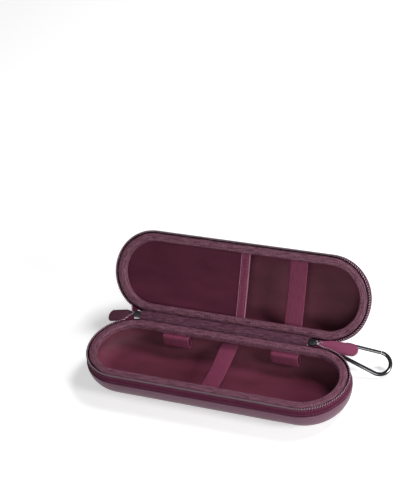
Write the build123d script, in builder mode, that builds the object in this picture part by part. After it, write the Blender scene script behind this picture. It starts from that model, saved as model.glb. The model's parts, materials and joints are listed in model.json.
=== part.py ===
"""Electric toothbrush travel case: a long hard case in two hinged halves, closed by a zipper.

Millimetres. The origin is the centre of the base's flat underside, +Z is up, +X runs along the
case to its right-hand end and +Y points to the hinge. The case lies open, as it is used.
Both halves are laid out from the outline on which the zipper teeth run. A distance called
"out" is measured outwards from that outline, and a "depth" from a half's rim plane into it.
"""
from build123d import *
from collections import namedtuple
from math import asin, atan2, ceil, cos, hypot, radians, sin
import os

# ---- case ----------------------------------------------------------------------------------------
teeth_length = 237.5          # outline of the zipper teeth, end to end
teeth_width = 75.0            # and across
cap_x = (teeth_length - teeth_width) / 2    # centres of the rounded ends
cap_radius = teeth_width / 2
half_depth = 29.5             # rim plane to the outside of the bottom or the top
rim_gap = 2.6                 # between the two rim planes when the case is shut
open_angle = 125.0            # how far the lid swings back
hinge_out = 2.7               # hinge line beyond the teeth outline
hinge_drop = 2.1              # hinge line below the base's rim plane

# ---- laminated walls -----------------------------------------------------------------------------
skin_thick = 1.25             # moulded outer skin
foam_thick = 4.0              # stiff foam behind it
lining_thick = 0.8            # cloth lining
edge_round = 20.0             # outside rounding of bottom and top
wall_taper = 8.0              # degrees by which the walls lean in below the zipper tape
flange_width = 8.6            # foam's inward flange under the rim, from the teeth outline
flange_thick = 2.0
binding_width = 9.15          # woven rim binding reaches this far in from the teeth outline
binding_thick = 2.4
binding_round = 0.7
groove_width = 2.9            # groove behind the teeth, for the slider's inner plate
groove_depth = 3.2

# ---- scooped relief on the lid -------------------------------------------------------------------
scoop_depth = 3.0
scoop_clear = 0.6             # height over the lid at which the cutting surface runs out
scoop_start = teeth_length / 2 - 14.75      # end near the carabiner
scoop_finish = -teeth_length / 2 + 16.75
scoop_fade = 34.0             # length over which the scoop deepens at each end
crease_mid = 0.28 * teeth_width             # crease line: distance from the centre line at mid length
crease_slope = 0.155          # and how fast it moves towards the hinge along +X
crease_wall = 3.2             # width of the steep wall under the crease
pad_mid = -0.173 * teeth_width              # soft side of the scoop, the same way
pad_slope = 0.36
surface_steps = 26            # points along the cutting surface

# ---- zipper --------------------------------------------------------------------------------------
tape_band = 8.0               # tape that shows between rim and outer skin
tape_tuck = 2.4               # tape sewn behind the skin
tape_thick = 0.8
tape_top = 1.1                # depth of the tape's upper edge
coil_width = 1.5
coil_proud = 0.45             # coil stands this far out of the rim plane
spine_start = -cap_x + 3.25   # the zipper's tape ends where the spine panel begins
spine_end = cap_x - 17.25
coil_end_right = cap_x + 4.75 # the teeth start beyond the sliders' parking places
park_right = cap_x - 7.75     # right slider, parked
park_left_angle = 103.0       # left slider, parked, round the left end from +X
coil_start_angle = 112.5
zip_turn_out = 0.15           # line about which the zipper's ends turn with the lid:
zip_turn_drop = 2.25          # beyond the teeth outline, and below the base's rim plane
plate_length = 10.5
plate_height = 6.0
outer_plate_thick = 1.1
inner_plate_length = 8.4      # the inner plate is smaller, to run round the ends
inner_plate_height = 5.7
inner_plate_thick = 0.7
plate_gap = 0.3               # between the coil and each plate
post_height = 1.0
post_length = 3.6
crown_length = 7.0
crown_rise = 2.5
crown_wall = 1.1
crown_height = 1.6
link_length = 11.0
link_width = 4.2
link_bar = 1.0
link_gap = 0.05               # round the link's bars
tab_length = 30.0
tab_width = 11.0
tab_neck = 3.8
tab_neck_length = 6.0
tab_wall = 0.6                # tab beyond the link's bar
tab_thick = 2.0
tab_swing_right = 1.0         # pull tabs stand off the case by this angle when parked
tab_swing_left = 38.0
stop_length = 3.0
stop_height = 3.8
stop_thick = 1.6

# ---- hinge fabric --------------------------------------------------------------------------------
hinge_tape_thick = 0.8
fold_height = 5.0             # how much of the fabric's height takes the bend
fold_steps = 12
hinge_tape_start = -cap_x + 1.25
hinge_tape_end = cap_x - 17.25

# ---- straps, loops and pocket --------------------------------------------------------------------
strap_thick = 1.2
strap_width = 17.5
base_strap_x = 5.5
base_strap_skew = 4.0         # degrees
base_strap_depth = 6.0        # where it leaves the wall
base_strap_sag = 4.5
lid_strap_x = cap_x - 30.0
lid_strap_depth = 5.6
lid_strap_sag = 1.4
loop_width = 24.5
loop_left_x = -cap_x + 33.25
loop_right_x = cap_x - 28.0
loop_reach = 6.8              # how far the loops stand off the rear wall
loop_drop = 11.6
loop_round = 2.2
loop_gap = 2.3                # between the loops and the rear wall
pocket_edge_x = 4.0
pocket_edge_width = 8.0
pocket_edge_thick = 2.0
pocket_depth = 5.0
pocket_thick = 0.8

# ---- carabiner -----------------------------------------------------------------------------------
wire = 3.4
carabiner_length = 47.5
narrow_radius = 6.0           # to the middle of the wire
broad_radius = 9.5
carabiner_spot = (cap_x + 20.35, cap_radius + 10.35, -11.25)    # middle of its narrow bow, from the rim
carabiner_along = (0.940, 0.051, -0.339)    # towards its broad bow
carabiner_solid = (-0.106, -0.897, -0.428)  # towards its solid side
gate_slim = 0.3               # gate's diameter below the wire's
gate_play = 0.4
gate_pin = 1.1
gate_tongue = 1.2
gate_spring_width = 0.5
running = 0.05                # radial clearance on pins
sewn_loop_width = 3.6
sewn_loop_thick = 0.6
sewn_loop_play = 0.8
sewn_loop_angle = 45.0        # where it grips the narrow bow, from its middle to the solid side
sewn_loop_root = 6.0          # depth at which it leaves the tape

# ---- worked out ----------------------------------------------------------------------------------
rim_z = half_depth
tape_bottom = tape_band + tape_tuck
wall_thick = skin_thick + foam_thick + lining_thick
hinge_y = cap_radius + hinge_out
hinge_z = rim_z - hinge_drop
coil_out = -tape_thick / 2 + coil_width / 2
mid_z = rim_z + rim_gap / 2

Half = namedtuple("Half", "plane rear")   # rear is +1 where the plane's own +Y points to the hinge


def swung(x, y, z, angle, line_y=hinge_y, line_z=hinge_z):
    """A point of the shut case after it has opened by an angle about a line along X."""
    turn = radians(-angle)
    dy = y - line_y
    dz = z - line_z
    return (x, line_y + dy * cos(turn) - dz * sin(turn), line_z + dy * sin(turn) + dz * cos(turn))


def turned(x, y, z, angle):
    """A direction after the same opening."""
    turn = radians(-angle)
    return (x, y * cos(turn) - z * sin(turn), y * sin(turn) + z * cos(turn))


base = Half(Plane((0, 0, rim_z), x_dir=(1, 0, 0), z_dir=(0, 0, -1)), -1)
lid = Half(
    Plane(swung(0, 0, rim_z + rim_gap, open_angle), x_dir=(1, 0, 0), z_dir=turned(0, 0, 1, open_angle)),
    1,
)


def outline(out):
    """The case's outline, moved outwards, as a sketch in the current builder."""
    return SlotOverall(teeth_length + 2 * out, teeth_width + 2 * out)


def bowl(half, out, start, end, radius):
    """A block of the outline between two depths: upright by the tape, then leaning in, far edge round."""
    with BuildPart() as block:
        with BuildSketch(half.plane.offset(tape_bottom)):
            outline(out)
        extrude(amount=end - tape_bottom, taper=wall_taper)
        far = block.faces().sort_by(Axis(half.plane.origin, half.plane.z_dir))[-1]
        wall_limit = 0.97 * (end - tape_bottom) / (1 - sin(radians(wall_taper)))
        fillet(far.edges(), min(radius, wall_limit))
        if start < tape_bottom:
            with BuildSketch(half.plane.offset(start)):
                outline(out)
            extrude(amount=tape_bottom - start)
    return block.part


def rear_box(half, x_start, x_end, reach):
    """A box over the hinge side of a rim, to cut the zipper where the hinge fabric is."""
    with BuildPart(half.plane) as box:
        with Locations(((x_start + x_end) / 2, half.rear * cap_radius, 0)):
            Box(x_end - x_start, 2 * reach, 6 * half_depth)
    return box.part


# ---- laminated shells ----------------------------------------------------------------------------
def scoop_height(x, y, drop):
    """Height of the scooped surface over the rim plane, lowered by a drop."""
    crease = crease_mid + crease_slope * x
    pad = pad_mid + pad_slope * x
    ends = min(1.0, max(0.0, (scoop_start - x) / scoop_fade), max(0.0, (x - scoop_finish) / scoop_fade))
    ends = ends * ends * (3 - 2 * ends)
    wall = min(1.0, max(0.0, (crease - y) / crease_wall))
    span = max(1.0, crease - crease_wall - pad)
    rise = min(1.6, max(0.0, (crease - crease_wall - y) / span))
    wall = wall * wall * (3 - 2 * wall)
    deep = ends * (wall - rise * rise)
    return half_depth + scoop_clear - (scoop_depth + scoop_clear) * deep - drop


def scoop_cutter(drop):
    """Everything above the scooped surface, to take off the lid."""
    reach_x = teeth_length / 2 + 6
    far_crease = crease_mid + crease_slope * reach_x
    first = -ceil((teeth_width / 2 + 3 + far_crease) / crease_wall)
    last = ceil((teeth_width / 2 + 3 - 2 * crease_mid + far_crease) / crease_wall)
    rows = []
    for i in range(surface_steps + 1):
        x = -reach_x + 2 * reach_x * i / surface_steps
        row = []
        for j in range(first, last + 1):
            y = crease_mid + crease_slope * x + j * crease_wall
            row.append(lid.plane.from_local_coords(Vector(x, y, scoop_height(x, y, drop))))
        rows.append(row)
    face = Face.make_surface_from_array_of_points(rows, tol=0.05)
    return extrude(face, amount=half_depth, dir=lid.plane.z_dir, mode=Mode.PRIVATE)


def make_outer_skin(half, scooped):
    """Moulded skin from the tape band down, smooth outside."""
    outer = bowl(half, skin_thick, tape_band, half_depth, edge_round)
    inner = bowl(half, 0, tape_band, half_depth - skin_thick, edge_round - skin_thick)
    with BuildPart() as skin:
        add(outer)
        if scooped:
            add(scoop_cutter(0), mode=Mode.SUBTRACT)
            inner = inner - scoop_cutter(skin_thick)
        add(inner, mode=Mode.SUBTRACT)
    return skin.part


def make_foam_core(half, scooped):
    """Stiff foam: the wall between skin and lining, with the flange that carries the rim."""
    body = bowl(half, 0, tape_bottom, half_depth - skin_thick, edge_round - skin_thick)
    cavity = bowl(
        half, -foam_thick, binding_thick + flange_thick,
        half_depth - skin_thick - foam_thick, edge_round - skin_thick - foam_thick,
    )
    with BuildPart() as foam:
        add(body)
        with BuildSketch(half.plane.offset(groove_depth)):
            outline(-tape_thick)
        extrude(amount=tape_bottom - groove_depth)
        with BuildSketch(half.plane.offset(binding_thick)):
            outline(-groove_width)
        extrude(amount=groove_depth - binding_thick)
        with BuildSketch(half.plane.offset(binding_thick)):
            outline(-flange_width)
        extrude(amount=flange_thick, mode=Mode.SUBTRACT)
        add(cavity, mode=Mode.SUBTRACT)
        if scooped:
            add(scoop_cutter(skin_thick), mode=Mode.SUBTRACT)
    return foam.part


def make_lining(half):
    """Cloth lining of the hollow, up to the underside of the flange."""
    top = binding_thick + flange_thick
    floor = half_depth - skin_thick - foam_thick
    radius = edge_round - skin_thick - foam_thick
    outer = bowl(half, -foam_thick, top, floor, radius)
    inner = bowl(half, -foam_thick - lining_thick, top, floor - lining_thick, radius - lining_thick)
    with BuildPart() as lining:
        add(outer)
        add(inner, mode=Mode.SUBTRACT)
    return lining.part


def make_rim_binding(half):
    """Woven binding: flat on the rim, turned down over the flange's inner edge."""
    with BuildPart() as binding:
        with BuildSketch(half.plane):
            outline(-groove_width)
            outline_hole(-binding_width)
        extrude(amount=binding_thick)
        near = binding.faces().sort_by(Axis(half.plane.origin, half.plane.z_dir))[0]
        fillet(near.edges(), binding_round)
        with BuildSketch(half.plane.offset(binding_thick)):
            outline(-flange_width)
            outline_hole(-binding_width)
        extrude(amount=flange_thick)
    return binding.part


def outline_hole(out):
    """The outline taken out of the current sketch."""
    return SlotOverall(teeth_length + 2 * out, teeth_width + 2 * out, mode=Mode.SUBTRACT)


# ---- zipper chain --------------------------------------------------------------------------------
def make_zip_tape(half):
    """Zipper tape all round but for the spine panel."""
    gap = rear_box(half, spine_start, spine_end, cap_radius / 2)
    with BuildPart() as tape:
        with BuildSketch(half.plane.offset(tape_top)):
            outline(0)
            outline_hole(-tape_thick)
        extrude(amount=tape_bottom - tape_top)
        add(gap, mode=Mode.SUBTRACT)
    return tape.part


def make_zip_coil(half):
    """Row of teeth on the tape's edge, from one parked slider round to the other."""
    coil_start = -cap_x + cap_radius * cos(radians(coil_start_angle))
    gap = rear_box(half, coil_start, coil_end_right, cap_radius / 2)
    with BuildPart() as coil:
        with BuildSketch(half.plane.offset(-coil_proud)):
            outline(coil_out)
            outline_hole(coil_out - coil_width)
        extrude(amount=tape_top + coil_proud)
        add(gap, mode=Mode.SUBTRACT)
    return coil.part


# ---- hinge fabric --------------------------------------------------------------------------------
def folded(out, height):
    """Place of a point of the upright hinge fabric once the lid is open."""
    share = min(1.0, max(0.0, (height - hinge_z) / fold_height))
    share = share * share * (3 - 2 * share)
    return swung(0, cap_radius + out, height, open_angle * share)[1:]


def make_hinge_strip(x_start, x_end, out, thick, depth):
    """A strip of fabric standing in the rear wall of both halves and arched between them."""
    low = rim_z - depth
    high = rim_z + rim_gap + depth
    heights = [low] + [hinge_z + fold_height * i / fold_steps for i in range(fold_steps + 1)] + [high]
    outside = [folded(out, h) for h in heights]
    inside = [folded(out - thick, h) for h in heights]
    with BuildPart() as strip:
        with BuildSketch(Plane((x_start, 0, 0), x_dir=(0, 1, 0), z_dir=(1, 0, 0))):
            with BuildLine():
                Line(outside[0], outside[1])
                Spline(outside[1:-1], tangents=(fold_run(outside[:2]), fold_run(outside[-2:])))
                Line(outside[-2], outside[-1])
                Line(outside[-1], inside[-1])
                Line(inside[-1], inside[-2])
                Spline(inside[1:-1], tangents=(fold_run(inside[:2]), fold_run(inside[-2:])))
                Line(inside[1], inside[0])
                Line(inside[0], outside[0])
            make_face()
        extrude(amount=x_end - x_start)
    return strip.part


def fold_run(pair):
    """Direction from the first point of a pair to the second."""
    return (pair[1][0] - pair[0][0], pair[1][1] - pair[0][1])


# ---- straps, loops and pocket --------------------------------------------------------------------
def make_strap(half, x, skew, depth, sag):
    """Elastic strap across a half, sewn under the flange at both sides."""
    reach = cap_radius - foam_thick - lining_thick
    way = half.rear * radians(skew)
    across = Plane(
        half.plane.from_local_coords(Vector(x, 0, 0)),
        x_dir=half.plane.y_dir * cos(way) - half.plane.x_dir * sin(way),
        z_dir=half.plane.x_dir * cos(way) + half.plane.y_dir * sin(way),
    )
    with BuildPart() as strap:
        with BuildSketch(across):
            with BuildLine():
                ThreePointArc((-reach - 4, depth), (0, depth + sag), (reach + 4, depth))
                Line((reach + 4, depth), (reach + 4, depth + strap_thick))
                ThreePointArc(
                    (reach + 4, depth + strap_thick),
                    (0, depth + sag + strap_thick),
                    (-reach - 4, depth + strap_thick),
                )
                Line((-reach - 4, depth + strap_thick), (-reach - 4, depth))
            make_face()
        extrude(amount=strap_width / 2, both=True)
        with BuildSketch(half.plane):
            Rectangle(teeth_length, 2 * reach)
        extrude(amount=half_depth, mode=Mode.INTERSECT)
    return strap.part


def make_brush_loop(x):
    """Flat elastic loop on the base's rear wall, under the flange."""
    wall = cap_radius - foam_thick - lining_thick
    top = rim_z - binding_thick - flange_thick
    with BuildPart() as loop:
        middle = (x, wall - loop_gap - loop_reach / 2, top - loop_drop / 2)
        with BuildSketch(Plane(middle, x_dir=(0, 1, 0), z_dir=(1, 0, 0))):
            RectangleRounded(loop_reach, loop_drop, loop_round)
            RectangleRounded(
                loop_reach - 2 * strap_thick,
                loop_drop - 2 * strap_thick,
                loop_round - strap_thick,
                mode=Mode.SUBTRACT,
            )
        extrude(amount=loop_width / 2, both=True)
    return loop.part


def make_pocket_panel():
    """Cloth panel over the left part of the lid's hollow."""
    edge = pocket_edge_x - pocket_edge_width / 2
    with BuildPart() as panel:
        with BuildSketch(lid.plane.offset(pocket_depth)):
            outline(-foam_thick - lining_thick)
            with Locations((edge + teeth_length / 2, 0)):
                Rectangle(teeth_length, teeth_width, mode=Mode.SUBTRACT)
        extrude(amount=pocket_thick)
    return panel.part


def make_pocket_edge():
    """Band along the pocket's mouth."""
    reach = cap_radius - foam_thick - lining_thick
    top = pocket_depth + pocket_thick / 2 - pocket_edge_thick / 2
    with BuildPart() as band:
        with BuildSketch(lid.plane.offset(top)):
            with Locations((pocket_edge_x, 0)):
                Rectangle(pocket_edge_width, 2 * reach)
        extrude(amount=pocket_edge_thick)
    return band.part


# ---- sliders and pulls ---------------------------------------------------------------------------
def parked_plane(x, y, out_x, out_y):
    """Frame of a parked slider: X along the teeth, Y outwards, Z across the tape."""
    half_open = open_angle / 2
    spot = swung(x, y, mid_z, half_open, cap_radius + zip_turn_out, rim_z - zip_turn_drop)
    return Plane(spot, x_dir=turned(out_y, -out_x, 0, half_open), z_dir=turned(0, 0, 1, half_open))


left_out = (cos(radians(park_left_angle)), sin(radians(park_left_angle)))
left_park = parked_plane(-cap_x + cap_radius * left_out[0], cap_radius * left_out[1], *left_out)
right_park = parked_plane(park_right, cap_radius, 0, 1)

inner_face = coil_out - coil_width - plate_gap      # slider's inner plate, the side by the coil
outer_face = coil_out + plate_gap                   # and its outer plate
crown_face = outer_face + outer_plate_thick
pivot_out = crown_face + (crown_rise - crown_wall) / 2


def make_slider(park):
    """Slider: two plates joined by a post between the teeth rows, with a crown for the pull."""
    with BuildPart(park) as slider:
        with Locations((0, inner_face - inner_plate_thick / 2, 0)):
            Box(inner_plate_length, inner_plate_thick, inner_plate_height)
        with Locations((0, outer_face + outer_plate_thick / 2, 0)):
            Box(plate_length, outer_plate_thick, plate_height)
        corners = slider.edges().filter_by(Axis((0, 0, 0), park.y_dir))
        fillet(corners, plate_height / 4)
        with Locations((0, (inner_face + outer_face) / 2, 0)):
            Box(post_length, outer_face - inner_face, post_height)
        with Locations((0, crown_face + crown_rise / 2, 0)):
            Box(crown_length, crown_rise, crown_height)
        crown_top = slider.faces().sort_by(Axis(park.origin, park.y_dir))[-1]
        ends = crown_top.edges().filter_by(Axis((0, 0, 0), park.z_dir))
        fillet(ends, crown_wall)
        with Locations((0, pivot_out, 0)):
            Box(crown_length - 2 * crown_wall, crown_rise - crown_wall, 2 * crown_height, mode=Mode.SUBTRACT)
    return slider.part


def pull_plane(park, side, swing):
    """Frame of a pull: origin on its pivot, X along the pull, Z across the tape."""
    pivot = park.from_local_coords(Vector(side * crown_length / 5, pivot_out, 0))
    way = radians(swing if side > 0 else 180 - swing)
    return Plane(pivot, x_dir=park.x_dir * cos(way) + park.y_dir * sin(way), z_dir=park.z_dir)


def make_pull_link(plane):
    """Metal link between the slider's crown and the tab."""
    middle = Plane(plane.origin, x_dir=plane.x_dir, z_dir=plane.y_dir)
    with BuildPart() as link:
        with BuildSketch(middle):
            with Locations((link_length / 2 - link_bar / 2, 0)):
                Rectangle(link_length, link_width)
                Rectangle(link_length - 2 * link_bar, link_width - 2 * link_bar, mode=Mode.SUBTRACT)
        extrude(amount=link_bar / 2, both=True)
        fillet(link.edges().filter_by(Axis((0, 0, 0), middle.z_dir), reverse=True), link_bar / 4)
    return link.part


def make_pull_tab(plane):
    """Coated cloth tab, folded round the link's end bar."""
    middle = Plane(plane.origin, x_dir=plane.x_dir, z_dir=plane.y_dir)
    bar_x = link_length - link_bar
    root = bar_x - link_bar / 2 - tab_wall
    shoulder = root + tab_neck_length
    tip = root + tab_length
    with BuildPart() as tab:
        with BuildSketch(middle):
            with BuildLine():
                Polyline((root, -tab_neck / 2), (root, tab_neck / 2), (shoulder, tab_neck / 2))
                Spline(
                    (shoulder, tab_neck / 2),
                    (shoulder + tab_width / 2, tab_width / 2.4),
                    (tip - tab_width / 2, tab_width / 2),
                    tangents=((1, 1), (1, 0)),
                )
                ThreePointArc(
                    (tip - tab_width / 2, tab_width / 2), (tip, 0), (tip - tab_width / 2, -tab_width / 2)
                )
                Spline(
                    (tip - tab_width / 2, -tab_width / 2),
                    (shoulder + tab_width / 2, -tab_width / 2.4),
                    (shoulder, -tab_neck / 2),
                    tangents=((-1, 0), (-1, 1)),
                )
                Line((shoulder, -tab_neck / 2), (root, -tab_neck / 2))
            make_face()
        extrude(amount=tab_thick / 2, both=True)
        with BuildSketch(middle):
            with Locations((bar_x, 0)):
                Rectangle(link_bar + 2 * link_gap, 2 * tab_width)
        extrude(amount=link_bar / 2 + link_gap, both=True, mode=Mode.SUBTRACT)
        arm = link_width / 2 - link_bar / 2
        with BuildSketch(middle):
            with Locations((root, arm), (root, -arm)):
                Rectangle(2 * (bar_x + link_bar / 2 + link_gap - root), link_bar + 2 * link_gap)
        extrude(amount=tab_thick, both=True, mode=Mode.SUBTRACT)
    return tab.part


def make_zip_stop(park, side):
    """Stop that joins both rows of teeth behind the parked slider."""
    beyond = plate_length / 2 + plate_gap + stop_length / 2
    with BuildPart(park) as stop:
        with Locations((-side * beyond, -tape_thick / 2, 0)):
            Box(stop_length, stop_thick, stop_height)
        fillet(stop.edges().filter_by(Axis((0, 0, 0), park.y_dir)), stop_length / 6)
    return stop.part


# ---- carabiner -----------------------------------------------------------------------------------
along = Vector(*carabiner_along).normalized()
spot = Vector(*carabiner_spot) + Vector(0, 0, rim_z)
face_way = along.cross(Vector(*carabiner_solid)).normalized()
carabiner = Plane(spot, x_dir=along, z_dir=face_way)
centres = carabiner_length - wire - narrow_radius - broad_radius
taper = asin((broad_radius - narrow_radius) / centres)
narrow_low = (-narrow_radius * sin(taper), -narrow_radius * cos(taper))
broad_low = (centres - broad_radius * sin(taper), -broad_radius * cos(taper))
gate_run = hypot(broad_low[0] - narrow_low[0], broad_low[1] - narrow_low[1])
gate_pivot = carabiner.from_local_coords(Vector(*narrow_low, 0))
gate_nose = carabiner.from_local_coords(Vector(*broad_low, 0))
gate_plane = Plane(gate_pivot, x_dir=gate_nose - gate_pivot, z_dir=face_way)
slot_width = gate_tongue + gate_spring_width + 3 * running


def make_carabiner_body():
    """Bent wire body: pivot end, narrow bow, solid side and broad bow up to the nose."""
    start = (narrow_low[0] + wire * cos(taper), narrow_low[1] - wire * sin(taper))
    with BuildPart() as body:
        with BuildLine(carabiner) as path:
            Line(start, narrow_low)
            ThreePointArc(narrow_low, (-narrow_radius, 0), (narrow_low[0], -narrow_low[1]))
            Line((narrow_low[0], -narrow_low[1]), (broad_low[0], -broad_low[1]))
            ThreePointArc((broad_low[0], -broad_low[1]), (centres + broad_radius, 0), broad_low)
        with BuildSketch(Plane(path.line @ 0, z_dir=path.line % 0)):
            Circle(wire / 2)
        sweep()
        with BuildSketch(gate_plane):
            Rectangle(2 * wire + 2 * gate_play, 2 * wire)
        extrude(amount=slot_width / 2, both=True, mode=Mode.SUBTRACT)
        with BuildSketch(gate_plane):
            Circle(gate_pin / 2)
        extrude(amount=wire, both=True, mode=Mode.SUBTRACT)
    return body.part


def make_gate():
    """Sprung gate on the open side, with a flat tongue on its pin."""
    rod = (wire - gate_slim) / 2
    shoulder = wire + gate_play
    with BuildPart() as gate:
        with BuildSketch(Plane(gate_plane.from_local_coords(Vector(shoulder, 0, 0)), z_dir=gate_plane.x_dir)):
            Circle(rod)
        extrude(amount=gate_run - shoulder - gate_play)
        tongue = gate_plane.offset(-slot_width / 2 + running)
        with BuildSketch(tongue):
            Circle(rod)
            with Locations((shoulder / 2, 0)):
                Rectangle(shoulder + rod / 2, 2 * rod)
        extrude(amount=gate_tongue)
        with BuildSketch(gate_plane):
            Circle(gate_pin / 2 + running)
        extrude(amount=wire, both=True, mode=Mode.SUBTRACT)
    return gate.part


def make_gate_pin():
    """Rivet through the body's fork and the gate's tongue."""
    with BuildPart() as pin:
        with BuildSketch(gate_plane):
            Circle(gate_pin / 2)
        extrude(amount=wire / 2 - running, both=True)
    return pin.part


def make_gate_spring():
    """Wound spring round the pin, beside the tongue."""
    with BuildPart() as spring:
        with BuildSketch(gate_plane.offset(slot_width / 2 - running - gate_spring_width)):
            Circle(gate_pin)
            Circle(gate_pin / 2 + running, mode=Mode.SUBTRACT)
        extrude(amount=gate_spring_width)
    return spring.part


grip_way = radians(sewn_loop_angle)
grip = carabiner.from_local_coords(Vector(-narrow_radius * cos(grip_way), narrow_radius * sin(grip_way), 0))
grip_axis = carabiner.x_dir * sin(grip_way) + carabiner.y_dir * cos(grip_way)


def make_carabiner_loop():
    """Strap sewn to the base's tape behind the right end, folded round the carabiner's narrow bow."""
    round_end = atan2(grip.Y, grip.X - cap_x)
    root = Vector(
        cap_x + cap_radius * cos(round_end), cap_radius * sin(round_end), rim_z - sewn_loop_root
    )
    hole = wire / 2 + sewn_loop_play
    run = (root - grip).length + foam_thick
    with BuildPart() as loop:
        with BuildSketch(Plane(grip, x_dir=root - grip, z_dir=grip_axis)):
            Circle(hole + sewn_loop_thick)
            with Locations((run / 2, 0)):
                Rectangle(run, 2 * sewn_loop_thick)
            Circle(hole, mode=Mode.SUBTRACT)
        extrude(amount=sewn_loop_width / 2, both=True)
        with BuildSketch(base.plane):
            outline(0)
        extrude(amount=half_depth, mode=Mode.SUBTRACT)
    return loop.part


# ---- the pieces ----------------------------------------------------------------------------------
left_pull = pull_plane(left_park, -1, tab_swing_left)
right_pull = pull_plane(right_park, 1, tab_swing_right)
pieces = {
    "base_outer_skin": make_outer_skin(base, False),
    "base_foam_core": make_foam_core(base, False),
    "base_lining": make_lining(base),
    "base_rim_binding": make_rim_binding(base),
    "base_zip_tape": make_zip_tape(base),
    "base_zip_coil": make_zip_coil(base),
    "base_strap": make_strap(base, base_strap_x, base_strap_skew, base_strap_depth, base_strap_sag),
    "brush_loop_left": make_brush_loop(loop_left_x),
    "brush_loop_right": make_brush_loop(loop_right_x),
    "spine_panel": make_hinge_strip(spine_start, spine_end, 0, tape_thick, tape_bottom),
    "hinge_tape": make_hinge_strip(
        hinge_tape_start, hinge_tape_end, -2 * tape_thick, hinge_tape_thick, groove_depth
    ),
    "lid_outer_skin": make_outer_skin(lid, True),
    "lid_foam_core": make_foam_core(lid, True),
    "lid_lining": make_lining(lid),
    "lid_rim_binding": make_rim_binding(lid),
    "lid_zip_tape": make_zip_tape(lid),
    "lid_zip_coil": make_zip_coil(lid),
    "lid_strap": make_strap(lid, lid_strap_x, 0, lid_strap_depth, lid_strap_sag),
    "lid_pocket_panel": make_pocket_panel(),
    "lid_pocket_edge": make_pocket_edge(),
    "left_zip_stop": make_zip_stop(left_park, -1),
    "left_slider": make_slider(left_park),
    "left_pull_link": make_pull_link(left_pull),
    "left_pull_tab": make_pull_tab(left_pull),
    "right_zip_stop": make_zip_stop(right_park, 1),
    "right_slider": make_slider(right_park),
    "right_pull_link": make_pull_link(right_pull),
    "right_pull_tab": make_pull_tab(right_pull),
    "carabiner_loop": make_carabiner_loop(),
    "carabiner_body": make_carabiner_body(),
    "carabiner_gate": make_gate(),
    "carabiner_gate_pin": make_gate_pin(),
    "carabiner_gate_spring": make_gate_spring(),
}

os.makedirs("parts", exist_ok=True)
for label, piece in pieces.items():
    piece.label = label
    export_step(piece, f"parts/{label}.step")
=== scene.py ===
"""Electric toothbrush travel case, dressed over its frame of solids.

Lengths are millimetres until a mesh is written, and metres from there on. Both halves are laid
out from the line of the zipper teeth: "out" is measured outwards from it, "toward" runs from the
case's centre line to the hinge, and "depth" from a half's rim plane into that half.
"""
import json
import logging
import math
from dataclasses import dataclass
from enum import Enum
from typing import Callable, Sequence

import bmesh
import bpy
from mathutils import Matrix, Vector, noise

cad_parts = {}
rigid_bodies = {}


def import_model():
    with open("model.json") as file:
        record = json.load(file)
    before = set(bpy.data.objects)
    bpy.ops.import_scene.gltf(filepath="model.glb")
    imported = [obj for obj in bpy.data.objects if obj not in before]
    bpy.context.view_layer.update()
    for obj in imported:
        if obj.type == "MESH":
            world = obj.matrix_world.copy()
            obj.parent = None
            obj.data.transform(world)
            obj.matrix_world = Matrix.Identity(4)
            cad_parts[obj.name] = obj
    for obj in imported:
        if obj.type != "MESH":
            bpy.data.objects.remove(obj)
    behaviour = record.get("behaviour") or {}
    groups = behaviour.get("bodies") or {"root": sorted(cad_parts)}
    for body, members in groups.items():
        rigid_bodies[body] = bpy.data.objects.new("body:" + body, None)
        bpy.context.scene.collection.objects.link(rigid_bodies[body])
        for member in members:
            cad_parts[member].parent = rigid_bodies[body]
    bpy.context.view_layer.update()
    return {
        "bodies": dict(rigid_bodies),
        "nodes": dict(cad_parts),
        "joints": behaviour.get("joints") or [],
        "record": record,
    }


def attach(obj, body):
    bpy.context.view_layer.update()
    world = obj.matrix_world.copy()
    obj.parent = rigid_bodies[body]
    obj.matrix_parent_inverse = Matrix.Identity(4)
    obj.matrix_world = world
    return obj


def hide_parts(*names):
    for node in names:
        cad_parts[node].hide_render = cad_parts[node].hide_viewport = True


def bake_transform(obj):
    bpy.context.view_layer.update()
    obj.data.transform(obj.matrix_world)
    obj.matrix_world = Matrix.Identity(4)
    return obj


LOG = logging.getLogger("travel_case")
MM = 0.001
THREAD_MAP = "thread"
WELD = 2e-5

TEETH_LENGTH = 237.5
TEETH_WIDTH = 75.0
HALF_DEPTH = 29.5
RIM_GAP = 2.6
OPEN_ANGLE = 125.0
HINGE_OUT = 2.7
HINGE_DROP = 2.1
SKIN_THICK = 1.25
FOAM_THICK = 4.0
LINING_THICK = 0.8
EDGE_ROUND = 20.0
WALL_TAPER = 8.0
FLANGE_WIDTH = 8.6
FLANGE_THICK = 2.0
BINDING_WIDTH = 9.15
BINDING_THICK = 2.4
GROOVE_WIDTH = 2.9
GROOVE_DEPTH = 3.2
TAPE_BAND = 8.0
TAPE_BOTTOM = 10.4
TAPE_THICK = 0.8
TAPE_TOP = 1.1
CAP_X = (TEETH_LENGTH - TEETH_WIDTH) / 2
CAP_RADIUS = TEETH_WIDTH / 2
SPINE_START = -CAP_X + 3.25
SPINE_END = CAP_X - 17.25
HINGE_Y = CAP_RADIUS + HINGE_OUT
HINGE_Z = HALF_DEPTH - HINGE_DROP
INNER_WALL = CAP_RADIUS - FOAM_THICK - LINING_THICK
FLANGE_BOTTOM = BINDING_THICK + FLANGE_THICK
TOOTH_OUT = -0.4
TOOTH_DEPTH = 0.325
LEFT_PARK_TURN = math.radians(103.0)
LEFT_PARK_X = -CAP_X + CAP_RADIUS * math.cos(LEFT_PARK_TURN)
RIGHT_PARK_X = CAP_X - 7.75
BAND_ROW = TAPE_BAND - 1.3
STRAP_CORD = 1.35

Section = list[Vector]
Profile = list[tuple[float, float]]
Size = tuple[float, float, float]
# Place on the outline: x, toward, the outward normal's two parts, and the length walked.
Station = tuple[float, float, float, float, float]
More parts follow.
